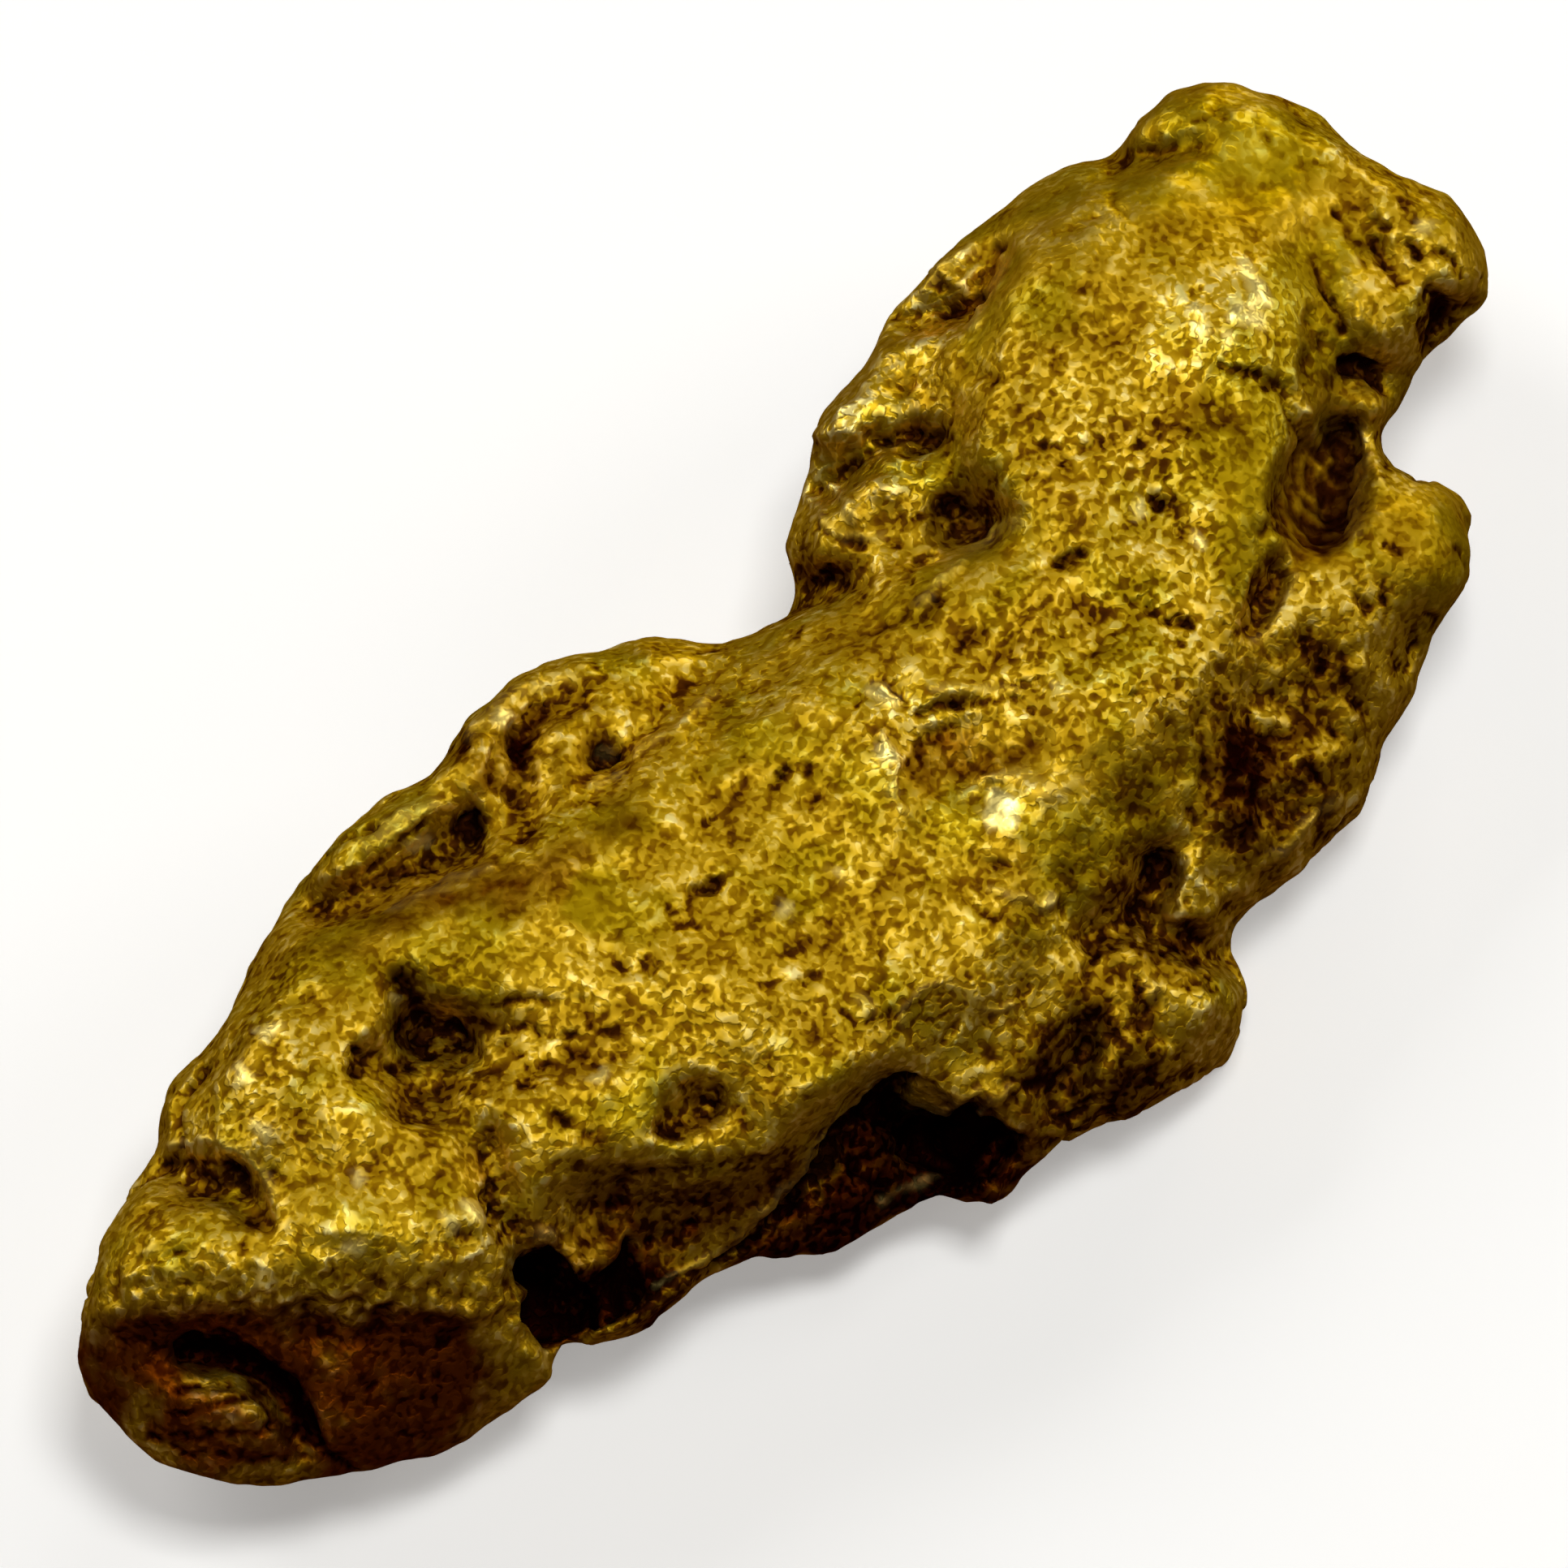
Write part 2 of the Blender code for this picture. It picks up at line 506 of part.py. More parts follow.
def apply_modifiers(lump):
    """Puts the evaluated mesh in place of the object's own, and drops its modifiers."""
    seen = lump.evaluated_get(bpy.context.evaluated_depsgraph_get())
    made = bpy.data.meshes.new_from_object(seen)
    lump.modifiers.clear()
    lump.data = made


def weld_skin(lump):
    skin = lump.modifiers.new("weld the sheets", "REMESH")
    skin.mode = "VOXEL"
    skin.voxel_size = WELD_VOXEL
    soft = lump.modifiers.new("soften", "SMOOTH")
    soft.factor = 0.5
    soft.iterations = 1
    apply_modifiers(lump)


def facing_ground(lump):
    """A vertex group that is full where the skin faces away from the sky side, and empty at the rim."""
    out = plane_to_object().to_3x3().col[2]
    start, end = GROUND_SIDE
    group = lump.vertex_groups.new(name="facing the ground")
    for vertex in lump.data.vertices:
        weight = float(smooth_step((-vertex.normal.dot(out) - start) / (end - start)))
        group.add([vertex.index], weight, "REPLACE")
    return group.name


def roughen(lump, group, name, pattern, size, strength):
    """Lumps of one pattern and size, pushed along the normals of one side of the skin."""
    texture = bpy.data.textures.new(name, pattern)
    texture.noise_scale = size
    push = lump.modifiers.new(name, "DISPLACE")
    push.texture = texture
    push.texture_coords = "LOCAL"
    push.strength = strength
    push.mid_level = 0.5
    push.vertex_group = group


def thin_mesh(lump):
    thin = lump.modifiers.new("thin", "DECIMATE")
    thin.use_collapse_triangulate = True
    thin.ratio = TARGET_TRIANGLES / (2 * len(lump.data.vertices))
    apply_modifiers(lump)


def wear_flat(lump):
    """Cuts the lowest points off level, which leaves the worn patches that the nugget rests on."""
    heights = [vertex.co.z for vertex in lump.data.vertices]
    level = min(heights) + WORN_DEPTH
    bpy.ops.mesh.primitive_cube_add(size=CUTTER_SIZE, location=(0, 0, level - CUTTER_SIZE / 2))
    ground = bpy.context.object
    ground.name = "ground cutter"
    ground.hide_render = True
    ground.display_type = "WIRE"
    cut = lump.modifiers.new("worn patches", "BOOLEAN")
    cut.operation = "DIFFERENCE"
    cut.object = ground
    apply_modifiers(lump)
    bpy.data.objects.remove(ground)
    return level


def gold():
    material = bpy.data.materials.new("native gold")
    material.use_nodes = True
    shader = material.node_tree.nodes["Principled BSDF"]
    shader.inputs["Base Color"].default_value = GOLD_COLOUR
    shader.inputs["Metallic"].default_value = 1.0
    shader.inputs["Roughness"].default_value = GOLD_ROUGHNESS
    return material


def stand_on_origin(lump, level):
    """Centres the nugget over the origin, with its worn patches at z = 0, and scales it to metres."""
    points = np.array([vertex.co for vertex in lump.data.vertices])
    centre = (points.min(axis=0) + points.max(axis=0)) / 2
    shift = (-centre[0], -centre[1], -level)
    print("the drawing plane's origin lies at", [round(float(part), 3) for part in shift], "mm")
    lump.data.transform(Matrix.Translation(shift))
    lump.data.transform(Matrix.Scale(MM, 4))


def gold_nugget():
    lump = bpy.data.objects.new("gold_nugget", lump_mesh())
    bpy.context.scene.collection.objects.link(lump)
    weld_skin(lump)
    group = facing_ground(lump)
    roughen(lump, group, "nodules", "VORONOI", *UNDER_NODULES)
    roughen(lump, group, "dents", "CLOUDS", *UNDER_DENTS)
    thin_mesh(lump)
    level = wear_flat(lump)
    stand_on_origin(lump, level)
    lump.data.materials.clear()
    lump.data.materials.append(gold())
    return lump


clear_scene()
gold_nugget()
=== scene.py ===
# %% [markdown]
# # A natural gold nugget
#
# Gold that has travelled down a stream arrives as one rounded lump. Stones have hammered its skin
# into a fine grain, its lobes are folded over one another, and its hollows still hold dark iron
# stain. This lesson dresses a plain solid of such a nugget until it looks like that. It starts by
# loading the solid, which fixes the size: about 19 mm long.

import math
from typing import NamedTuple

import bpy
import numpy as np
from mathutils import Matrix, Vector, noise


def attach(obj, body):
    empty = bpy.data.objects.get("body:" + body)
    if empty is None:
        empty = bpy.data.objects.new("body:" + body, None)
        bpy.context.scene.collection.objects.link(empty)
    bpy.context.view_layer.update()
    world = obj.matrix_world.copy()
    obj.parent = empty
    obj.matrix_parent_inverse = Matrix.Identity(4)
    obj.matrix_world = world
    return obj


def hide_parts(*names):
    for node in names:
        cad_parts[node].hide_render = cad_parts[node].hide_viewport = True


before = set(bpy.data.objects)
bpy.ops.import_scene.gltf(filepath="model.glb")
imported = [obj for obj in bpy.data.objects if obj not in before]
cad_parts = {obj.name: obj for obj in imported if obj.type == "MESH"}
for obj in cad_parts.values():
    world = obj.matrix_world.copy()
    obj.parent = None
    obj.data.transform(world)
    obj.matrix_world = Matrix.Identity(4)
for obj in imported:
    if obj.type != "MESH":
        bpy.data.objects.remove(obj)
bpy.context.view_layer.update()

# %% [markdown]
# ## The camera
#
# The nugget lies with its broad face turned up. The camera looks down on that face at 60 degrees
# from the level, with the head of the nugget to the upper right. A macro picture of so small a
# thing is taken from far off with a long lens, so that near and far ends keep their true sizes.
# One frame unit below is one of 1932 steps across the picture, and 0.008 mm on the nugget. The
# marks of the skin are placed in those units later, so the camera comes first.

# %% The camera and its directions
MM = 0.001
TURN = math.radians(-47.1)
LEAN = math.radians(60.0)
FRAME_STEPS = 1932
STEP = 0.00797  # millimetres on the nugget per frame unit
PLANE_ORIGIN = Vector((0.197, 1.116, 1.447))  # what lies at the middle of the picture, in mm
CAMERA_DISTANCE = 600.0  # millimetres
SENSOR = 36.0
NEAREST, FARTHEST = 0.01, 100.0  # what the camera sees lies between these, in metres

RIGHT = Vector((math.cos(TURN), math.sin(TURN), 0))
UP = Vector((-math.sin(TURN) * math.sin(LEAN), math.cos(TURN) * math.sin(LEAN), math.cos(LEAN)))
OUT = RIGHT.cross(UP)


def add_camera():
    camera = bpy.data.objects.new("camera", bpy.data.cameras.new("camera"))
    bpy.context.scene.collection.objects.link(camera)
    camera.location = (PLANE_ORIGIN + OUT * CAMERA_DISTANCE) * MM
    camera.rotation_euler = Matrix((RIGHT, UP, OUT)).transposed().to_euler()
    camera.data.sensor_width = SENSOR
    camera.data.lens = SENSOR * CAMERA_DISTANCE / (FRAME_STEPS * STEP)
    camera.data.clip_start = NEAREST
    camera.data.clip_end = FARTHEST
    bpy.context.scene.camera = camera
    return camera


camera = add_camera()
print("lens:", round(camera.data.lens), "mm")


def frame_units(points):
    """Where points, in millimetres, lie in the picture: across from the left, down from the top."""
    away = points - np.array(PLANE_ORIGIN)
    grow = CAMERA_DISTANCE / (CAMERA_DISTANCE - away @ np.array(OUT)) / STEP
    half = FRAME_STEPS / 2
    return half + away @ np.array(RIGHT) * grow, half - away @ np.array(UP) * grow


# %% [markdown]
# ## The skin
#
# The solid is a mesh of a few thousand flat facets, which is enough for its form but not for its
# skin. The solid itself is never changed, so the skin is a copy. It is subdivided to round the
# facets, remeshed to an even net of small quads, and smoothed a little. Sculpting by hand would
# start from just such a net. The net is made in millimetres, because a remesh finer than a tenth
# of a millimetre isn't possible in metres.

# %% Copy the solid and refine it
WELD = 0.001  # points closer than this, in millimetres, become one
NET = 0.046  # spacing of the net, in millimetres
SOFTENING = 0.5
SOFTENING_ROUNDS = 9


def new_object(name, data):
    thing = bpy.data.objects.new(name, data)
    bpy.context.scene.collection.objects.link(thing)
    return thing


def apply_modifiers(thing):
    """Puts the evaluated mesh in place of the object's own, and drops its modifiers."""
    seen = thing.evaluated_get(bpy.context.evaluated_depsgraph_get())
    made = bpy.data.meshes.new_from_object(seen)
    thing.modifiers.clear()
    thing.data = made


def refined_copy(solid, name):
    skin = new_object(name, solid.data.copy())
    skin.data.transform(Matrix.Scale(1 / MM, 4))
    weld = skin.modifiers.new("weld", "WELD")
    weld.merge_threshold = WELD
    finer = skin.modifiers.new("round the facets", "SUBSURF")
    finer.levels = finer.render_levels = 1
    net = skin.modifiers.new("even net", "REMESH")
    net.mode = "VOXEL"
    net.voxel_size = NET
    soft = skin.modifiers.new("soften", "SMOOTH")
    soft.factor = SOFTENING
    soft.iterations = SOFTENING_ROUNDS
    apply_modifiers(skin)
    return skin


skin = refined_copy(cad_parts["gold_nugget"], "nugget_skin")
print("the net has", len(skin.data.vertices), "points")

# %% [markdown]
# ## Reading and moving the net
#
# Each point of the net is moved along its normal, by a height that several layers add up to. The
# points and normals are kept as arrays, so that a layer is one line of arithmetic for all points.


# %% Points and normals as arrays
def read_vectors(mesh, name):
    values = np.empty(len(mesh.vertices) * 3, np.float32)
    mesh.vertices.foreach_get(name, values)
    return values.reshape(-1, 3).astype(float)


def write_points(mesh, points):
    mesh.vertices.foreach_set("co", points.astype(np.float32).ravel())
    mesh.update()


def read_edges(mesh):
    ends = np.empty(len(mesh.edges) * 2, np.int32)
    mesh.edges.foreach_get("vertices", ends)
    return ends.reshape(-1, 2)


points = read_vectors(skin.data, "co")
normals = read_vectors(skin.data, "normal")
edges = read_edges(skin.data)
across, down = frame_units(points)
facing = normals @ np.array(OUT)
print("share of the net that faces the camera:", round(float((facing > 0).mean()), 2))

# %% [markdown]
# Nothing on a nugget is even, so nearly every layer is mottled by smooth noise. Perlin noise does
# this well: its bumps have one size, which can be given in millimetres, and the same place always
# gets the same value. Each use of it has its own size or its own layer number, so that no two
# patterns repeat.

# %% Smoothing and noise
LAYER_GAP = 17.3  # the noise of one layer is cut this far from that of the next


def smoothed(points, edges, rounds):
    """Moves every point half-way to the mean of its neighbours, again and again."""
    counts = np.bincount(edges.ravel(), minlength=len(points))[:, None]
    for _ in range(rounds):
        total = np.zeros_like(points)
        for axis in range(3):
            total[:, axis] = np.bincount(edges[:, 0], points[edges[:, 1], axis], len(points))
            total[:, axis] += np.bincount(edges[:, 1], points[edges[:, 0], axis], len(points))
        points = 0.5 * points + 0.5 * total / np.maximum(counts, 1)
    return points


def smooth_step(value):
    value = np.clip(value, 0, 1)
    return value * value * (3 - 2 * value)


def perlin(points, size, layer):
    """Smooth noise from about -1 to 1 whose bumps are about half of size, in millimetres, across."""
    scaled = points / size + layer * LAYER_GAP
    return np.array([noise.noise(point) for point in scaled.tolist()])


class Mottle(NamedTuple):
    """A share that wanders about its middle, within limits, over bumps of a size in mm."""

    size: float
    layer: int
    middle: float
    contrast: float
    least: float = 0.0
    most: float = 1.0


def mottled(points, mottle):
    value = mottle.middle + mottle.contrast * perlin(points, mottle.size, mottle.layer)
    return np.clip(value, mottle.least, mottle.most)


example = perlin(points[::100], 1.0, 0)
print("noise runs from", round(float(example.min()), 2), "to", round(float(example.max()), 2))

# %% [markdown]
# ## Marks on the broad face
#
# The pits, gullies, folds and knobs that give this nugget its face are laid down one by one, as
# strokes: a path in frame units, a width and a height in millimetres, and how much dark stain
# lies in it. Stain past 1, and the patches of painted shade, are painted shade of caves and of
# faces that the lamps don't reach. A closed path is a patch, with a wall as wide as its width.
# Sculpting them by hand could look as good, but a list can be read, corrected and run again.


# %% What a mark is
TINY = 1e-9  # keeps a division by the length of a single spot from failing


class Mark(NamedTuple):
    name: str
    width: float  # millimetres
    height: float  # millimetres, below zero for a pit
    path: list  # places in frame units, across and down
    # dark stain, and past 1 painted shade in caves
    stain_and_shade: float = 0.0
    sharp: float = 0.0  # how steep the walls of a stroke are
    patch: bool = False
    whole: bool = False  # crumbs don't break it up
    glint: float = 0.0


def stroke_distance(x, y, path, closed=False):
    """Distance in frame units from every point to a path, or to a single spot."""
    nearest = np.full(x.shape, np.inf)
    ends = path[1:] + path[:1] if closed else path[1:] or path
    for (x0, y0), (x1, y1) in zip(path, ends):
        along = np.array([x1 - x0, y1 - y0], float)
        share = ((x - x0) * along[0] + (y - y0) * along[1]) / max(along @ along, TINY)
        share = np.clip(share, 0, 1)
        away = np.hypot(x - x0 - share * along[0], y - y0 - share * along[1])
        nearest = np.minimum(nearest, away)
    return nearest


def is_inside(x, y, path):
    """Whether a line from each point to the right crosses a closed path an odd number of times."""
    crossings = np.zeros(x.shape, int)
    for (x0, y0), (x1, y1) in zip(path, path[1:] + path[:1]):
        if y0 != y1:
            spans = (y0 > y) != (y1 > y)
            crossings += spans & (x < x0 + (y - y0) * (x1 - x0) / (y1 - y0))
    return crossings % 2 == 1


def depth_inside(x, y, path):
    """Distance in millimetres from the edge of a closed path, below zero outside of it."""
    distance = stroke_distance(x, y, path, closed=True) * STEP
    return np.where(is_inside(x, y, path), distance, -distance)


def mark_share(x, y, mark):
    """How strongly a mark acts on every point, from 0 to 1."""
    if mark.patch:
        return smooth_step(0.5 + depth_inside(x, y, mark.path) / mark.width)
    distance = stroke_distance(x, y, mark.path) * STEP
    return smooth_step((1 - distance / (mark.width / 2)) / (1 - mark.sharp))


print("a mark has", ", ".join(Mark._fields))

# %% [markdown]
# The head: a knob at the top, an ear of thin folds on its right, and a small pocket where the
# neck narrows.

# %% Marks of the head
HEAD = [
    Mark("knob pit", 0.20, -0.03, [(1462, 151), (1482, 150)], 0.55),
    Mark("knob pit right", 0.24, -0.03, [(1496, 138), (1508, 150)], 0.6),
    Mark("knob fold", 0.40, -0.03, [(1398, 152), (1420, 170), (1455, 178)], 0.15),
    Mark("head crease", 0.30, -0.07, [(1371, 203), (1385, 191), (1410, 184), (1445, 186)], 0.65),
    Mark("head crease lip", 0.34, 0.03, [(1395, 214), (1440, 207), (1490, 205)]),
    Mark("crown groove", 0.12, -0.03, [(1556, 166), (1568, 180), (1582, 194)], 0.65),
    Mark("crown dash", 0.14, -0.03, [(1552, 146), (1568, 156)], 0.55),
    Mark("crown spot", 0.18, -0.03, [(1612, 200), (1632, 202)], 0.55),
    Mark("temple spot", 0.22, -0.03, [(1558, 222), (1568, 232)], 0.35),
    Mark("temple dash", 0.20, -0.05, [(1648, 262), (1668, 290), (1690, 322)], 0.75),
    Mark("ear groove", 0.18, -0.06, [(1686, 290), (1704, 318), (1722, 350)], 0.8),
    Mark("ear pit", 0.18, -0.03, [(1698, 276), (1710, 284)], 0.55),
    Mark("upper ear hole", 0.22, -0.07, [(1733, 246), (1742, 262)], 0.7),
    Mark("lower ear hole", 0.24, -0.09, [(1736, 300), (1746, 316)], 0.85),
    Mark("ear tail groove", 0.16, -0.04, [(1766, 308), (1786, 328), (1798, 345)], 0.55),
    Mark("cheek line", 0.15, -0.07, [(1612, 318), (1622, 345), (1638, 375), (1652, 405)], 1.0),
    Mark("cheek hollow", 0.34, -0.05, [(1620, 395), (1622, 430), (1612, 470)], 0.35),
    Mark("ear ridge", 0.26, 0.035, [(1590, 215), (1640, 300), (1672, 370), (1690, 420)]),
    Mark("outer ear ridge", 0.26, 0.035, [(1700, 240), (1716, 300), (1745, 350)]),
    # stain past 1 paints the cave's shade
    Mark("ear cave", 0.28, -0.13, [(1660, 448), (1684, 456), (1704, 472)], 1.2, sharp=0.3, whole=True),
    Mark("small ear cave", 0.18, -0.07, [(1654, 442), (1662, 448)], 0.8),
    # stain past 1 paints shade in the hollow rim
    Mark("hollow rim", 0.20, -0.10, [(1757, 356), (1800, 372), (1792, 398), (1770, 422), (1750, 440),
         (1754, 400)], 1.2, patch=True, whole=True),
    Mark("flap crease", 0.16, -0.06, [(1572, 480), (1582, 510), (1592, 532), (1602, 548)], 0.75),
    Mark("start of the flap crease", 0.20, -0.04, [(1506, 450), (1532, 462), (1560, 478)], 0.7),
    Mark("flap lip", 0.26, 0.05, [(1590, 460), (1602, 500), (1622, 540)]),
    Mark("brow pit", 0.20, -0.04, [(1466, 358), (1478, 352)], 0.7),
    Mark("brow crumbs", 0.16, -0.03, [(1280, 360), (1284, 372)], 0.55),
    Mark("brow crumbs low", 0.18, -0.03, [(1336, 362), (1352, 352)], 0.55),
    Mark("temple fold", 0.14, -0.03, [(1298, 288), (1322, 282), (1350, 270)], 0.45),
    Mark("temple dent", 0.20, -0.03, [(1376, 238), (1384, 258)], 0.45),
    Mark("brow gap", 0.20, -0.04, [(1296, 430), (1306, 452)], 0.6),
    Mark("brow gap left", 0.14, -0.03, [(1214, 462), (1238, 468), (1250, 460)], 0.55),
]
print(len(HEAD), "marks on the head")

# %% Marks of the neck
NECK = [
    Mark("neck pocket", 0.24, -0.06, [(1600, 553), (1632, 540), (1662, 545), (1664, 600), (1655, 660),
         (1632, 690), (1604, 690), (1582, 655), (1575, 620), (1583, 585)], 0.55, patch=True),
    Mark("shadow in the pocket", 0.20, -0.05, [(1602, 552), (1583, 590), (1578, 625), (1586, 655)],
         0.85),
    Mark("pocket streak", 0.14, -0.03, [(1645, 560), (1640, 610), (1630, 650)], 0.75),
    Mark("pocket lip", 0.20, 0.05, [(1674, 530), (1680, 565), (1674, 610), (1666, 655)]),
    Mark("bridge side", 0.16, -0.03, [(1700, 520), (1704, 550), (1714, 582)], 0.55),
    Mark("pocket slit", 0.16, -0.08, [(1572, 682), (1586, 690), (1582, 715), (1568, 745), (1552, 762),
         (1538, 784), (1524, 786), (1528, 768), (1541, 752), (1546, 728), (1556, 704)], 0.85,
         patch=True),
    Mark("spot over the slit", 0.22, -0.05, [(1566, 656), (1572, 652)], 0.65),
    Mark("shoulder shade", 0.34, -0.03, [(1500, 712), (1524, 724)], 0.35),
    Mark("lobe pit", 0.18, -0.05, [(1712, 672), (1722, 682)], 0.65),
    Mark("lobe low pit", 0.22, -0.06, [(1676, 738), (1684, 748)], 0.8),
    Mark("lobe dash", 0.14, -0.05, [(1706, 722), (1712, 760)], 0.75),
    Mark("lobe side pit", 0.20, -0.04, [(1794, 676), (1796, 690)], 0.55),
    Mark("lobe rim pit", 0.20, -0.05, [(1766, 764), (1778, 772)], 0.85),
    Mark("lobe fold", 0.30, 0.04, [(1690, 640), (1720, 620), (1770, 640)]),
    Mark("rim strip", 0.22, -0.08, [(1743, 792), (1732, 815), (1722, 836)], 0.85),
    Mark("slot", 0.24, -0.08, [(1606, 794), (1625, 802), (1622, 825)], 0.85),
    Mark("slot crumbs", 0.18, -0.05, [(1652, 808), (1655, 834)], 0.7),
    Mark("notched edge", 0.16, 0.05, [(1545, 790), (1565, 770), (1590, 735), (1600, 710)]),
]
print(len(NECK), "marks on the neck")

# %% [markdown]
# The fingers: three short ridges folded against the far side of the head, with deep gullies
# between them.

# %% Marks of the fingers
FINGERS = [
    Mark("top finger gully", 0.14, -0.06, [(1104, 392), (1130, 388), (1150, 380), (1165, 378)], 0.65),
    Mark("top finger hole", 0.16, -0.10, [(1156, 386), (1176, 374), (1190, 366), (1202, 350),
         (1208, 336), (1214, 350), (1205, 374), (1190, 390), (1165, 394)], 0.85, patch=True),
    Mark("gully behind the top finger", 0.11, -0.04, [(1206, 345), (1218, 325), (1238, 306)], 0.65),
    Mark("split of the top finger", 0.12, -0.04, [(1148, 368), (1172, 352), (1192, 330), (1210, 308)],
         0.6),
    Mark("top finger back", 0.24, 0.05, [(1120, 360), (1160, 332), (1195, 308)]),
    Mark("thin ridge", 0.16, 0.04, [(1240, 322), (1216, 372), (1204, 402)]),
    Mark("rusty dent", 0.24, -0.03, [(1160, 408), (1150, 440), (1138, 452)], 0.25),
    Mark("finger pit", 0.32, -0.05, [(1110, 468), (1122, 474)], 0.45, sharp=0.2),
    Mark("middle finger rim", 0.26, 0.06, [(1014, 536), (1035, 508), (1068, 496)]),
    Mark("middle gully", 0.19, -0.07, [(1008, 602), (1028, 590), (1048, 578), (1074, 562)], 0.7),
    Mark("deep middle gully", 0.15, -0.09, [(1070, 530), (1096, 541), (1122, 531), (1156, 527),
         (1158, 545), (1138, 563), (1112, 553), (1084, 546)], 0.85, patch=True),
    Mark("rust over the gully", 0.20, -0.03, [(1118, 556), (1135, 570), (1120, 585)], 0.35),
    Mark("fine line", 0.08, -0.03, [(1171, 480), (1170, 515), (1169, 550), (1166, 575)], 0.6),
    Mark("small ridge", 0.14, 0.04, [(1026, 605), (1044, 618), (1052, 640)]),
    Mark("second small ridge", 0.14, 0.04, [(1000, 615), (1015, 640), (1040, 660), (1085, 655)]),
    Mark("ridge gap", 0.12, -0.04, [(1012, 645), (1035, 664), (1060, 672)], 0.45),
    Mark("ridge gap low", 0.16, -0.04, [(1055, 668), (1085, 664), (1105, 668)], 0.45),
    Mark("ridge gap right", 0.16, -0.04, [(1115, 650), (1128, 638), (1136, 632)], 0.55),
    Mark("gutter floor", 0.50, 0.12, [(1172, 652), (1200, 632)]),
    Mark("gutter pit", 0.22, -0.03, [(1158, 625), (1166, 612), (1200, 612), (1226, 600), (1232, 620),
         (1227, 642), (1200, 662), (1170, 672), (1158, 655)], 0.7, patch=True),
    Mark("gutter slit", 0.20, -0.08, [(1146, 684), (1132, 692)], 0.7),
    Mark("gutter slit low", 0.16, -0.05, [(1122, 702), (1112, 712)], 0.55),
    Mark("gutter edge", 0.18, 0.05, [(1130, 742), (1175, 700), (1228, 660), (1250, 640)]),
    Mark("gutter end", 0.16, -0.04, [(1248, 598), (1268, 592), (1290, 590)], 0.55),
    Mark("dirt over the gutter", 0.26, -0.03, [(1190, 590), (1230, 585), (1250, 575)], 0.4),
    Mark("corner crease", 0.22, -0.09, [(974, 704), (988, 720), (1012, 713), (1024, 706)], 0.7),
    Mark("corner notch", 0.14, -0.05, [(970, 748), (980, 742)], 0.55),
    Mark("corner ground", 0.40, -0.03, [(1005, 730), (1040, 724), (1062, 730)], 0.4),
    Mark("corner spot", 0.20, -0.03, [(974, 776), (984, 778)], 0.6),
    Mark("fold under the fingers", 0.16, -0.04, [(1000, 815), (1050, 795), (1100, 765), (1125, 745)],
         0.25),
]
print(len(FINGERS), "marks on the fingers")
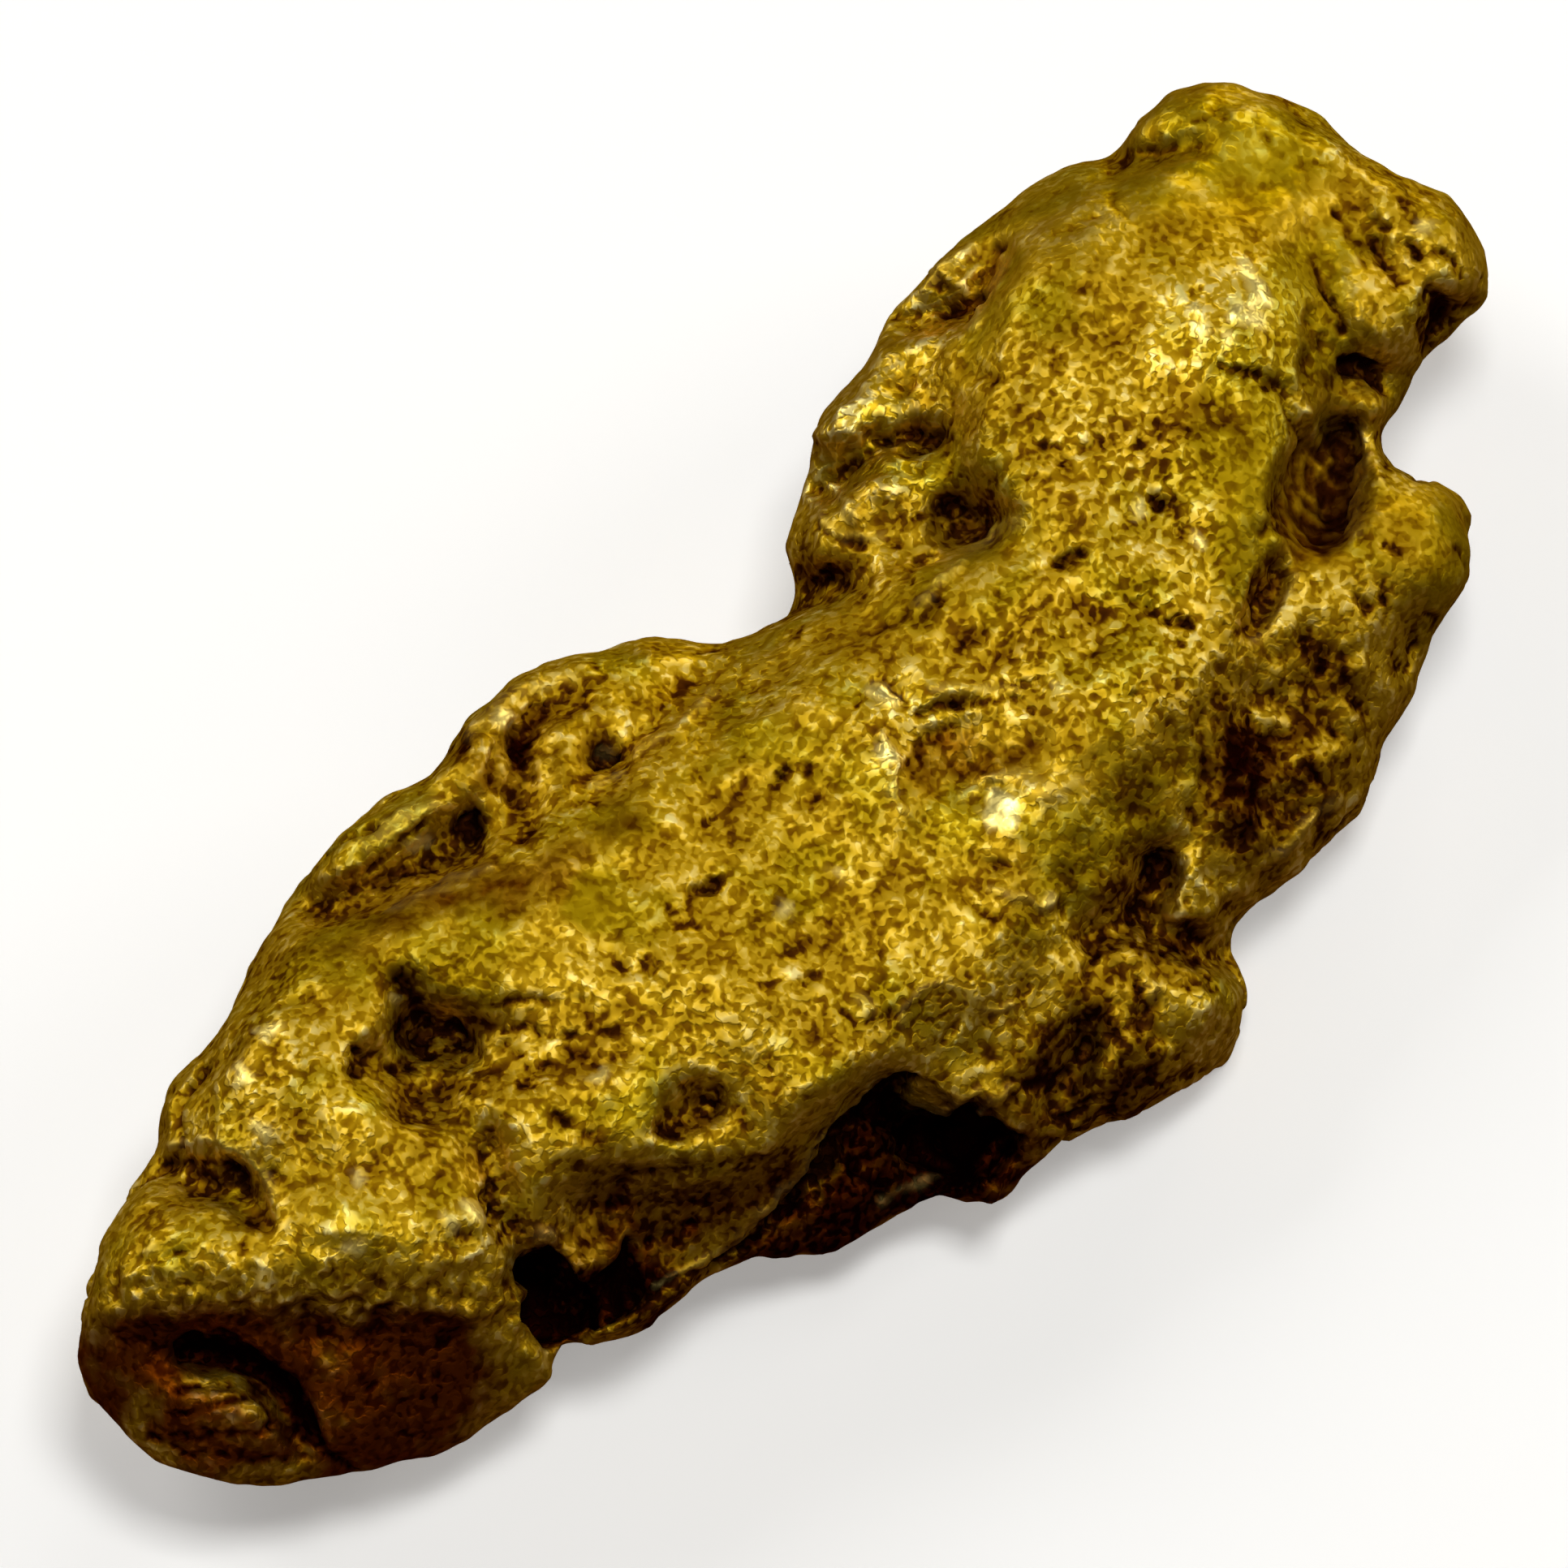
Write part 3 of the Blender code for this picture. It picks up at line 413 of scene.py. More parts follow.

# %% [markdown]
# The body: a broad face with scattered pits, one long slit with a basin under it, and a flank
# that falls away into darker, deeply pitted ground. A patch of painted shade has stain and no
# height: it darkens faces that turn away from the lamps.

# %% Marks of the body
BODY = [
    Mark("neck pit", 0.28, -0.06, [(1292, 552), (1312, 562)], 0.8, sharp=0.2),
    Mark("neck pit trail", 0.16, -0.03, [(1255, 560), (1280, 568)], 0.4),
    Mark("neck crumbs", 0.18, -0.03, [(1330, 552), (1352, 546), (1384, 542)], 0.55),
    Mark("neck crumbs right", 0.20, -0.03, [(1402, 550), (1428, 528), (1420, 518)], 0.6),
    Mark("neck crumbs end", 0.16, -0.03, [(1450, 526), (1462, 532)], 0.55),
    Mark("shoulder pit", 0.22, -0.06, [(1424, 618), (1440, 623), (1456, 612)], 0.8),
    Mark("shoulder pit tail", 0.16, -0.04, [(1446, 632), (1452, 655)], 0.65),
    Mark("slanted pit", 0.20, -0.04, [(1266, 712), (1292, 700), (1318, 686)], 0.5),
    Mark("slanted pit end", 0.22, -0.05, [(1308, 692), (1330, 681)], 0.7),
    Mark("star pit", 0.18, -0.05, [(1418, 752), (1436, 768), (1462, 770)], 0.75),
    Mark("star pit arm", 0.14, -0.03, [(1396, 742), (1418, 752)], 0.5),
    Mark("star pit crumbs", 0.18, -0.03, [(1408, 790), (1440, 796), (1455, 790)], 0.4),
    Mark("long slit", 0.18, -0.08, [(1134, 884), (1150, 873), (1168, 865), (1198, 864)], 0.8),
    Mark("long slit tail", 0.12, -0.04, [(1200, 864), (1240, 862), (1262, 868), (1275, 880)], 0.65),
    Mark("crumbs over the slit", 0.16, -0.03, [(1215, 850), (1240, 842), (1278, 838)], 0.55),
    Mark("basin", 0.30, -0.04, [(1150, 892), (1230, 882), (1282, 902), (1290, 940), (1232, 955),
         (1180, 960), (1140, 980), (1118, 960)], 0.2, patch=True),
    Mark("basin edge", 0.26, -0.04, [(1150, 905), (1128, 935), (1113, 975)], 0.4),
    Mark("slit lip", 0.14, 0.03, [(1150, 852), (1200, 848), (1250, 850)]),
    Mark("basin ridge", 0.16, 0.05, [(1085, 905), (1100, 940), (1102, 985), (1118, 1000)]),
    Mark("low basin ridge", 0.20, 0.05, [(1190, 985), (1225, 960), (1262, 950), (1300, 985),
         (1330, 965)]),
    Mark("ring of the bright bump", 0.14, -0.04, [(1056, 862), (1060, 846), (1085, 838), (1108, 850),
         (1116, 870)], 0.65),
    Mark("crest pit", 0.22, -0.05, [(962, 952), (975, 946), (992, 946)], 0.8, sharp=0.2),
    Mark("crest pit tail", 0.14, -0.03, [(960, 955), (954, 980)], 0.5),
    Mark("crest pit low", 0.20, -0.05, [(994, 993), (1008, 986), (1020, 980)], 0.8),
    Mark("small face pit", 0.18, -0.04, [(872, 1014), (880, 1006)], 0.7),
    Mark("green pit", 0.24, -0.06, [(848, 1112), (862, 1099), (884, 1092)], 0.7, sharp=0.2),
    Mark("green pit foot", 0.16, -0.04, [(838, 1140), (850, 1134), (860, 1142)], 0.75),
    Mark("green pit crumb", 0.20, -0.04, [(816, 1120), (824, 1126)], 0.7),
    Mark("spot pit", 0.26, -0.06, [(796, 1184), (810, 1180), (800, 1196)], 0.8, sharp=0.2),
    Mark("spot pit trail", 0.20, -0.04, [(764, 1184), (780, 1196)], 0.7),
    Mark("hollow one", 0.40, -0.04, [(955, 1186), (975, 1172), (1000, 1165)], 0.4),
    Mark("hollow one gap", 0.16, -0.04, [(942, 1214), (985, 1208), (1012, 1200)], 0.7),
    Mark("hollow one crumb", 0.18, -0.03, [(1008, 1128), (1030, 1142)], 0.5),
    Mark("hollow two", 0.18, -0.04, [(1042, 1246), (1058, 1262), (1090, 1258), (1102, 1244)], 0.7),
    Mark("hollow two crumb", 0.20, -0.04, [(1074, 1166), (1090, 1178)], 0.65),
    Mark("hollow two pebble", 0.20, 0.05, [(1062, 1226), (1074, 1240)]),
    Mark("fan ground", 0.30, -0.03, [(1180, 1062), (1240, 1046), (1286, 1080), (1272, 1132),
         (1212, 1136)], 0.3, patch=True),
    Mark("fan wrinkle one", 0.14, -0.03, [(1195, 1055), (1220, 1065), (1250, 1075), (1278, 1092)], 0.5),
    Mark("fan wrinkle two", 0.16, -0.04, [(1190, 1100), (1215, 1130), (1240, 1130)], 0.7),
    Mark("fan rib", 0.12, 0.04, [(1222, 1092), (1260, 1108), (1292, 1120)]),
    Mark("face crumb", 0.18, -0.03, [(1142, 1050), (1152, 1056)], 0.6),
    Mark("curl", 0.12, 0.04, [(1118, 1262), (1112, 1240), (1130, 1216), (1160, 1210), (1190, 1222),
         (1212, 1244), (1245, 1236)]),
    Mark("curl gap", 0.14, -0.04, [(1150, 1290), (1178, 1272), (1192, 1248)], 0.45),
    Mark("round bump", 0.20, 0.05, [(1295, 1110)]),
    Mark("small gap", 0.24, -0.05, [(1310, 1120), (1320, 1150), (1334, 1162)], 0.75),
    Mark("edge spot", 0.18, -0.03, [(1262, 1226), (1270, 1210)], 0.6),
    Mark("upper strip", 0.30, 0.03, [(905, 905), (960, 880), (1030, 850)]),
    Mark("face fold", 0.14, -0.03, [(915, 930), (918, 965), (912, 990)], 0.4),
    Mark("far crumbs", 0.20, -0.03, [(1148, 738), (1156, 744)], 0.6),
    Mark("far crumbs two", 0.22, -0.03, [(1126, 766), (1140, 762)], 0.6),
    Mark("far crumbs three", 0.16, -0.03, [(1212, 736), (1226, 732)], 0.6),
    Mark("far crumbs four", 0.18, -0.03, [(1186, 792), (1200, 786), (1216, 776)], 0.5),
]
print(len(BODY), "marks on the body")

# %% Marks of the flank
FLANK = [
    Mark("first flank pocket", 0.26, -0.06, [(1528, 842), (1532, 868), (1544, 888)], 0.75),
    Mark("second flank pocket", 0.20, -0.05, [(1572, 858), (1578, 880), (1590, 895)], 0.75),
    Mark("fourth flank pocket", 0.26, -0.05, [(1545, 912), (1562, 905), (1578, 898)], 0.75),
    Mark("fifth flank pocket", 0.22, -0.05, [(1588, 932), (1600, 945)], 0.7),
    Mark("sixth flank pocket", 0.22, -0.05, [(1596, 980), (1610, 992), (1604, 1006)], 0.75),
    Mark("seventh flank pocket", 0.18, -0.04, [(1622, 946), (1630, 970)], 0.7),
    Mark("eighth flank pocket", 0.20, -0.04, [(1560, 1010), (1570, 1030), (1562, 1050)], 0.7),
    Mark("ninth flank pocket", 0.18, -0.04, [(1636, 895), (1650, 898)], 0.7),
    Mark("flank edge pocket", 0.20, -0.04, [(1668, 865), (1690, 880)], 0.65),
    Mark("flank speckle", 0.22, -0.04, [(1478, 900), (1482, 940), (1490, 985)], 0.5),
    Mark("low flank speckle", 0.18, -0.04, [(1470, 1000), (1474, 1030)], 0.55),
    Mark("flank spot", 0.20, -0.05, [(1438, 1040), (1446, 1050)], 0.75),
    Mark("flank crumb", 0.16, -0.04, [(1462, 1105), (1468, 1118)], 0.7),
    Mark("deep flank pit", 0.20, -0.07, [(1424, 1056), (1436, 1080), (1432, 1104), (1418, 1130),
         (1402, 1120), (1404, 1096), (1414, 1078)], 1.0, patch=True),
    Mark("gully under it", 0.18, -0.05, [(1412, 1130), (1418, 1150), (1414, 1172)], 0.7),
    Mark("pit beside it", 0.22, -0.05, [(1356, 1162), (1368, 1172)], 0.7),
    Mark("notch gully", 0.24, -0.06, [(1498, 1202), (1476, 1184), (1452, 1172), (1434, 1176)], 1.0),
    Mark("low notch gully", 0.20, -0.05, [(1500, 1218), (1470, 1212), (1440, 1206)], 0.7),
    Mark("side knob crown", 0.50, 0.05, [(1484, 1256)]),
    Mark("side knob crease", 0.22, -0.04, [(1424, 1240), (1430, 1270), (1452, 1300)], 0.6),
    Mark("pebble by the knob", 0.22, 0.05, [(1414, 1214), (1420, 1222)]),
    Mark("pebble ring", 0.14, -0.03, [(1398, 1210), (1402, 1232), (1420, 1240)], 0.65),
    # painted shade on the shelf, which turns away from the lamps
    Mark("painted shade on the shelf", 0.50, 0.0, [(1210, 1340), (1290, 1290), (1340, 1240), (1420, 1260),
         (1480, 1330), (1400, 1380), (1290, 1420), (1230, 1400)], 0.7, patch=True),
    # painted shade on the flank, which turns away from the lamps
    Mark("painted shade on the flank", 0.60, 0.0, [(1510, 850), (1590, 850), (1620, 940), (1580, 1040),
         (1500, 1060), (1490, 950)], 0.8, patch=True),
    Mark("shelf pocket one", 0.22, -0.05, [(1330, 1292), (1320, 1320), (1306, 1336)], 0.8),
    Mark("shelf pocket two", 0.22, -0.05, [(1378, 1312), (1392, 1336), (1386, 1352)], 0.7),
    Mark("shelf pocket three", 0.20, -0.04, [(1425, 1322), (1436, 1338), (1455, 1330)], 0.7),
    Mark("shelf pocket four", 0.22, -0.05, [(1244, 1332), (1262, 1326), (1272, 1340)], 1.0),
    Mark("shelf rib", 0.12, 0.05, [(1214, 1366), (1232, 1350), (1248, 1338)]),
    Mark("flank rim groove", 0.16, -0.04, [(1686, 985), (1660, 1012), (1630, 1030), (1608, 1048)], 0.7),
    Mark("flank rim", 0.16, 0.05, [(1652, 985), (1620, 1005), (1585, 1045), (1566, 1052)]),
    Mark("edge crumbs", 0.22, -0.04, [(1340, 1130), (1345, 1175), (1336, 1200)], 0.65),
]
print(len(FLANK), "marks on the flank")

# %% [markdown]
# The belly: the body's edge ends in a thin bright lip. Under it lie two black caves, with a small
# knob between the layers. Left of the middle a heart-shaped cavity breaks the face.

# %% Marks of the belly
BELLY = [
    # stain past 1 paints the cave's shade
    Mark("long cave", 0.16, -0.22, [(1062, 1352), (1100, 1326), (1120, 1330), (1112, 1366),
         (1160, 1374), (1202, 1362), (1218, 1374), (1256, 1404), (1254, 1434), (1200, 1438),
         (1180, 1464), (1152, 1470), (1158, 1440), (1112, 1420), (1100, 1396), (1062, 1382)], 1.5,
         patch=True, whole=True),
    Mark("cave roof", 0.30, -0.04, [(1125, 1345), (1160, 1330), (1195, 1335)], 0.55),
    Mark("cave lip", 0.12, 0.05, [(1122, 1374), (1160, 1366), (1204, 1350)]),
    Mark("cave knob", 0.40, 0.10, [(1222, 1466)]),
    Mark("lip", 0.12, 0.05, [(1072, 1340), (1030, 1372), (1008, 1404), (996, 1442), (950, 1482),
         (900, 1530), (850, 1562), (812, 1582)]),
    # stain past 1 paints the shade under the lip
    Mark("under the lip", 0.20, -0.11, [(1060, 1366), (1030, 1398), (1018, 1440), (975, 1488),
         (915, 1540), (860, 1576)], 1.5, sharp=0.3, whole=True),
    # painted shade under the lip, where no lamp reaches
    Mark("painted shade under the lip", 0.30, -0.02, [(1040, 1372), (1012, 1410), (989, 1446), (950, 1490),
         (911, 1523), (860, 1556), (790, 1620), (800, 1660), (900, 1600), (1000, 1570), (1100, 1520),
         (1200, 1500), (1262, 1470), (1262, 1400), (1100, 1380)], 1.0, patch=True, whole=True),
    Mark("lower layer gap", 0.16, -0.07, [(1052, 1416), (1046, 1440), (1060, 1460)], 0.95),
    Mark("lower layer gap two", 0.16, -0.06, [(1096, 1440), (1082, 1466), (1090, 1480)], 0.85),
    Mark("lower layer gap three", 0.18, -0.06, [(1010, 1478), (1030, 1490), (1020, 1512)], 0.85),
    Mark("lower layer rib", 0.14, 0.03, [(1150, 1444), (1130, 1462), (1090, 1484)]),
    # stain past 1 paints the cave's shade
    Mark("low cave", 0.18, -0.26, [(632, 1564), (650, 1546), (672, 1542), (690, 1554), (706, 1582),
         (724, 1590), (762, 1564), (776, 1532), (790, 1540), (786, 1590), (800, 1600), (770, 1622),
         (742, 1640), (716, 1654), (690, 1658), (660, 1640), (640, 1618), (648, 1600)], 1.6, patch=True,
         whole=True),
    # painted shade round the low cave
    Mark("painted shade by the low cave", 0.24, -0.03, [(716, 1560), (800, 1560), (850, 1570), (800, 1620),
         (740, 1650), (700, 1640)], 1.3, patch=True, whole=True),
    Mark("tongue crest", 0.34, 0.05, [(700, 1416), (800, 1418), (900, 1420), (960, 1396)]),
    Mark("tongue hole", 0.34, -0.07, [(816, 1396), (842, 1380), (870, 1368)], 1.0, whole=True),
    Mark("tongue hole shade", 0.30, -0.04, [(850, 1346), (872, 1336), (885, 1345)], 0.65),
    Mark("tongue rust", 0.22, -0.04, [(908, 1365), (920, 1388)], 0.55),
    Mark("tongue shade", 0.34, -0.05, [(690, 1440), (760, 1446), (850, 1446), (930, 1430)], 0.45),
    Mark("tongue pit", 0.20, -0.05, [(756, 1486), (768, 1482)], 0.85),
    Mark("tongue gap", 0.20, -0.06, [(790, 1530), (830, 1520), (860, 1500)], 0.7),
    # painted shade on the tongue, which looks down
    Mark("painted shade on the tongue", 0.70, 0.0, [(640, 1530), (690, 1480), (780, 1460), (900, 1450),
         (970, 1420), (960, 1480), (880, 1540), (800, 1590), (700, 1640)], 0.5, patch=True),
    Mark("groove behind the butt", 0.20, -0.07, [(598, 1420), (600, 1450), (600, 1480), (606, 1500)],
         0.8),
    Mark("groove pocket", 0.20, -0.11, [(604, 1502), (622, 1490), (644, 1500), (652, 1520), (634, 1534),
         (610, 1530)], 0.85, patch=True),
    Mark("pebble under the tongue", 0.24, 0.06, [(662, 1520), (676, 1524)]),
]
print(len(BELLY), "marks on the belly")

# %% Marks of the heart-shaped cavity
HEART = [
    Mark("heart cleft", 0.20, -0.08, [(490, 1200), (504, 1224), (520, 1246), (532, 1262)], 0.85),
    Mark("heart", 0.22, -0.10, [(500, 1268), (520, 1254), (542, 1262), (562, 1256), (584, 1276),
         (588, 1296), (566, 1300), (540, 1294), (526, 1312), (500, 1322), (486, 1318), (500, 1298)], 1.1,
         patch=True),
    Mark("heart floor", 0.40, -0.06, [(496, 1330), (560, 1304), (590, 1310), (580, 1350), (530, 1384),
         (496, 1380)], 0.6, patch=True),
    Mark("dashes by the heart", 0.13, -0.04, [(610, 1240), (640, 1232), (676, 1236)], 0.5),
    Mark("dashes by the heart two", 0.12, -0.04, [(618, 1272), (650, 1266), (672, 1280), (700, 1276)],
         0.45),
    Mark("dashes by the heart three", 0.12, -0.03, [(716, 1232), (748, 1222), (776, 1226)], 0.45),
    Mark("dashes by the heart four", 0.13, -0.03, [(724, 1262), (746, 1272), (768, 1268)], 0.5),
    Mark("dashes by the heart five", 0.12, -0.03, [(640, 1300), (620, 1290), (608, 1298)], 0.5),
    Mark("heart arm", 0.18, -0.06, [(437, 1296), (448, 1308), (470, 1308), (486, 1326)], 0.8),
    Mark("heart arm crumb", 0.16, -0.04, [(432, 1318), (440, 1326)], 0.65),
    Mark("plate hole", 0.20, -0.05, [(654, 1318), (674, 1312)], 0.8),
    Mark("plate crumb", 0.18, -0.04, [(644, 1340), (660, 1334)], 0.65),
    Mark("plate crumb right", 0.18, -0.03, [(700, 1296), (730, 1302)], 0.55),
    Mark("rust dent", 0.18, -0.02, [(680, 1376), (706, 1378), (700, 1388)], 0.6),
    Mark("rust dent low", 0.20, -0.03, [(722, 1402), (746, 1416)], 0.55),
    Mark("gap by the tongue", 0.18, -0.04, [(600, 1390), (606, 1410), (598, 1432)], 0.65),
]
print(len(HEART), "marks round the heart-shaped cavity")

# %% [markdown]
# The lobes lie one over another along the far side, and the butt at the lower left ends in a
# blunt face with a crescent-shaped crack.

# %% Marks of the lobes
LOBES = [
    Mark("lower lobe gully", 0.16, -0.07, [(500, 1069), (530, 1058), (552, 1036), (566, 1018),
         (586, 1006)], 0.8),
    Mark("gully slope", 0.24, -0.04, [(500, 1086), (540, 1060), (574, 1014), (592, 1008), (600, 1050),
         (562, 1074), (512, 1096)], 0.4, patch=True),
    Mark("gully crumbs", 0.18, -0.04, [(578, 1036), (590, 1050)], 0.7),
    Mark("lower gully run", 0.15, -0.05, [(380, 1124), (410, 1112), (440, 1097), (470, 1086),
         (500, 1069)], 0.7),
    Mark("lower gully slope", 0.34, -0.03, [(400, 1132), (450, 1122), (490, 1104)], 0.3),
    Mark("lower lobe rim", 0.24, 0.05, [(450, 1040), (500, 1006), (530, 990)]),
    Mark("crumbs on the rim", 0.16, -0.04, [(436, 1084), (470, 1060), (496, 1030), (526, 1012)], 0.5),
    Mark("gully lip", 0.20, 0.04, [(480, 1118), (540, 1090), (600, 1070)]),
    Mark("middle gully slope", 0.22, -0.04, [(632, 898), (662, 880), (702, 862), (708, 870), (690, 886),
         (662, 906), (640, 928), (630, 948)], 0.5, patch=True),
    Mark("edge of the middle gully", 0.10, -0.04, [(632, 894), (655, 878), (680, 868), (704, 858)],
         0.7),
    Mark("middle gully head", 0.28, -0.04, [(716, 862), (732, 846), (738, 838)], 0.55),
    Mark("lobe notch", 0.14, -0.04, [(733, 809), (735, 822)], 0.6),
    Mark("middle lobe ground", 0.22, -0.04, [(606, 928), (614, 960), (636, 990)], 0.4),
    Mark("middle lobe spot", 0.24, -0.04, [(648, 1030), (664, 1016)], 0.7),
    Mark("middle lobe crumbs", 0.18, -0.04, [(566, 920), (574, 908)], 0.6),
    Mark("pebble on the lobe", 0.26, 0.05, [(618, 936), (626, 944)]),
    Mark("middle lobe rim", 0.24, 0.04, [(580, 900), (612, 868), (660, 842), (700, 832)]),
    Mark("upper lobe groove", 0.14, -0.04, [(774, 913), (800, 896), (812, 872), (828, 854)], 0.55),
    Mark("upper groove head", 0.22, -0.04, [(830, 852), (846, 838), (860, 829)], 0.55),
    Mark("upper ridge", 0.18, 0.04, [(790, 925), (832, 892), (880, 850)]),
    # stain past 1 paints the hole's shade
    Mark("stud hole", 0.12, -0.12, [(726, 936), (732, 924), (750, 919), (762, 932), (764, 944),
         (750, 950), (736, 948)], 1.3, patch=True, whole=True),
    Mark("stud", 0.16, 0.05, [(738, 930), (752, 928)]),
    Mark("stud rim", 0.12, 0.04, [(728, 962), (748, 966), (772, 956)]),
    Mark("dash under the stud", 0.12, -0.03, [(708, 990), (724, 986), (738, 986)], 0.5),
    Mark("far crumb", 0.20, -0.03, [(866, 800), (874, 798)], 0.6),
    Mark("far shade", 0.26, -0.03, [(926, 846), (944, 838)], 0.3),
    Mark("slope under the gully", 0.40, -0.02, [(560, 1140), (590, 1150), (600, 1130)], 0.25),
]
print(len(LOBES), "marks on the lobes")

# %% Marks of the butt
BUTT = [
    Mark("left recess", 0.30, -0.07, [(205, 1436), (245, 1424), (276, 1432), (300, 1445), (314, 1466),
         (318, 1490), (308, 1500), (286, 1480), (250, 1470), (225, 1462)], 0.7, patch=True),
    Mark("recess shadow", 0.16, -0.05, [(205, 1430), (245, 1432), (285, 1440), (305, 1452)], 0.85),
    Mark("recess tail", 0.26, -0.04, [(318, 1500), (330, 1512)], 0.35),
    Mark("recess lip", 0.18, 0.04, [(210, 1410), (260, 1406), (310, 1424), (336, 1470)]),
    Mark("spot by the recess", 0.24, -0.03, [(332, 1450), (342, 1456)], 0.45),
    # stain past 1 paints the crack's shade
    Mark("crescent", 0.15, -0.12, [(214, 1658), (234, 1646), (270, 1644), (302, 1654), (336, 1674),
         (364, 1700), (374, 1730), (392, 1754), (402, 1780), (386, 1786), (364, 1762), (358, 1736),
         (350, 1716), (330, 1702), (300, 1688), (262, 1682), (222, 1674)], 1.5, patch=True, whole=True),
    Mark("flake", 0.50, 0.05, [(240, 1730), (300, 1740)]),
    Mark("flake wrinkle one", 0.14, -0.05, [(206, 1746), (250, 1732), (302, 1722)], 0.8),
    Mark("flake wrinkle two", 0.14, -0.05, [(302, 1692), (318, 1720), (336, 1760)], 0.8),
    Mark("flake wrinkle three", 0.14, -0.05, [(196, 1776), (250, 1764), (300, 1770), (346, 1762)], 0.8),
    Mark("flake wrinkle four", 0.14, -0.05, [(215, 1716), (246, 1706), (280, 1708)], 0.8),
    Mark("lower slit", 0.14, -0.08, [(394, 1786), (418, 1800), (442, 1811)], 1.0),
    Mark("low rim", 0.14, -0.05, [(186, 1770), (240, 1792), (320, 1800), (380, 1800)], 0.65),
    Mark("left face hollow", 0.40, -0.04, [(150, 1650), (190, 1640), (200, 1680)], 0.45),
    Mark("butt pit", 0.24, -0.05, [(452, 1708), (470, 1700)], 0.55),
    Mark("butt pit right", 0.26, -0.04, [(546, 1654), (562, 1650)], 0.55),
    Mark("corner crest", 0.30, 0.05, [(618, 1612), (650, 1650), (672, 1690)]),
    Mark("shoulder of the butt", 1.10, 0.12, [(180, 1590), (300, 1586), (430, 1592), (560, 1590),
         (620, 1600)]),
    # painted shade on the butt face, which looks down
    Mark("painted shade on the butt face", 0.60, 0.0, [(130, 1660), (220, 1630), (420, 1624), (570, 1620),
         (600, 1700), (540, 1780), (430, 1800), (390, 1740), (300, 1680), (200, 1690)], 0.25,
         patch=True),
    Mark("face flake one", 0.40, 0.04, [(450, 1660), (440, 1690)]),
    Mark("face flake two", 0.30, 0.03, [(430, 1760), (450, 1780)]),
    Mark("face gap one", 0.30, -0.03, [(500, 1680), (540, 1700)], 0.35),
    Mark("face gap two", 0.26, -0.03, [(480, 1740), (500, 1770)], 0.45),
    Mark("face gap three", 0.24, -0.03, [(400, 1640), (420, 1660)], 0.4),
    Mark("butt top crumbs", 0.20, -0.04, [(572, 1520), (584, 1530)], 0.55),
    Mark("butt top crumbs two", 0.16, -0.04, [(448, 1466), (462, 1470)], 0.55),
    Mark("butt top crumbs three", 0.18, -0.04, [(405, 1555), (412, 1568)], 0.55),
    Mark("end streak one", 0.14, -0.03, [(170, 1590), (190, 1560), (230, 1540)], 0.3),
    Mark("end streak two", 0.14, -0.03, [(296, 1530), (298, 1560), (290, 1580)], 0.45),
    Mark("rim crumbs", 0.16, -0.04, [(214, 1352), (232, 1344)], 0.65),
    Mark("back speckle", 0.18, -0.04, [(350, 1240), (380, 1226)], 0.35),
]
print(len(BUTT), "marks on the butt")

# %% [markdown]
# Glints are painted highlights. They are marks too: they lie a little proud of the skin, have almost
# no grain, and their colour is painted pale, so that they are the palest spots of the nugget.

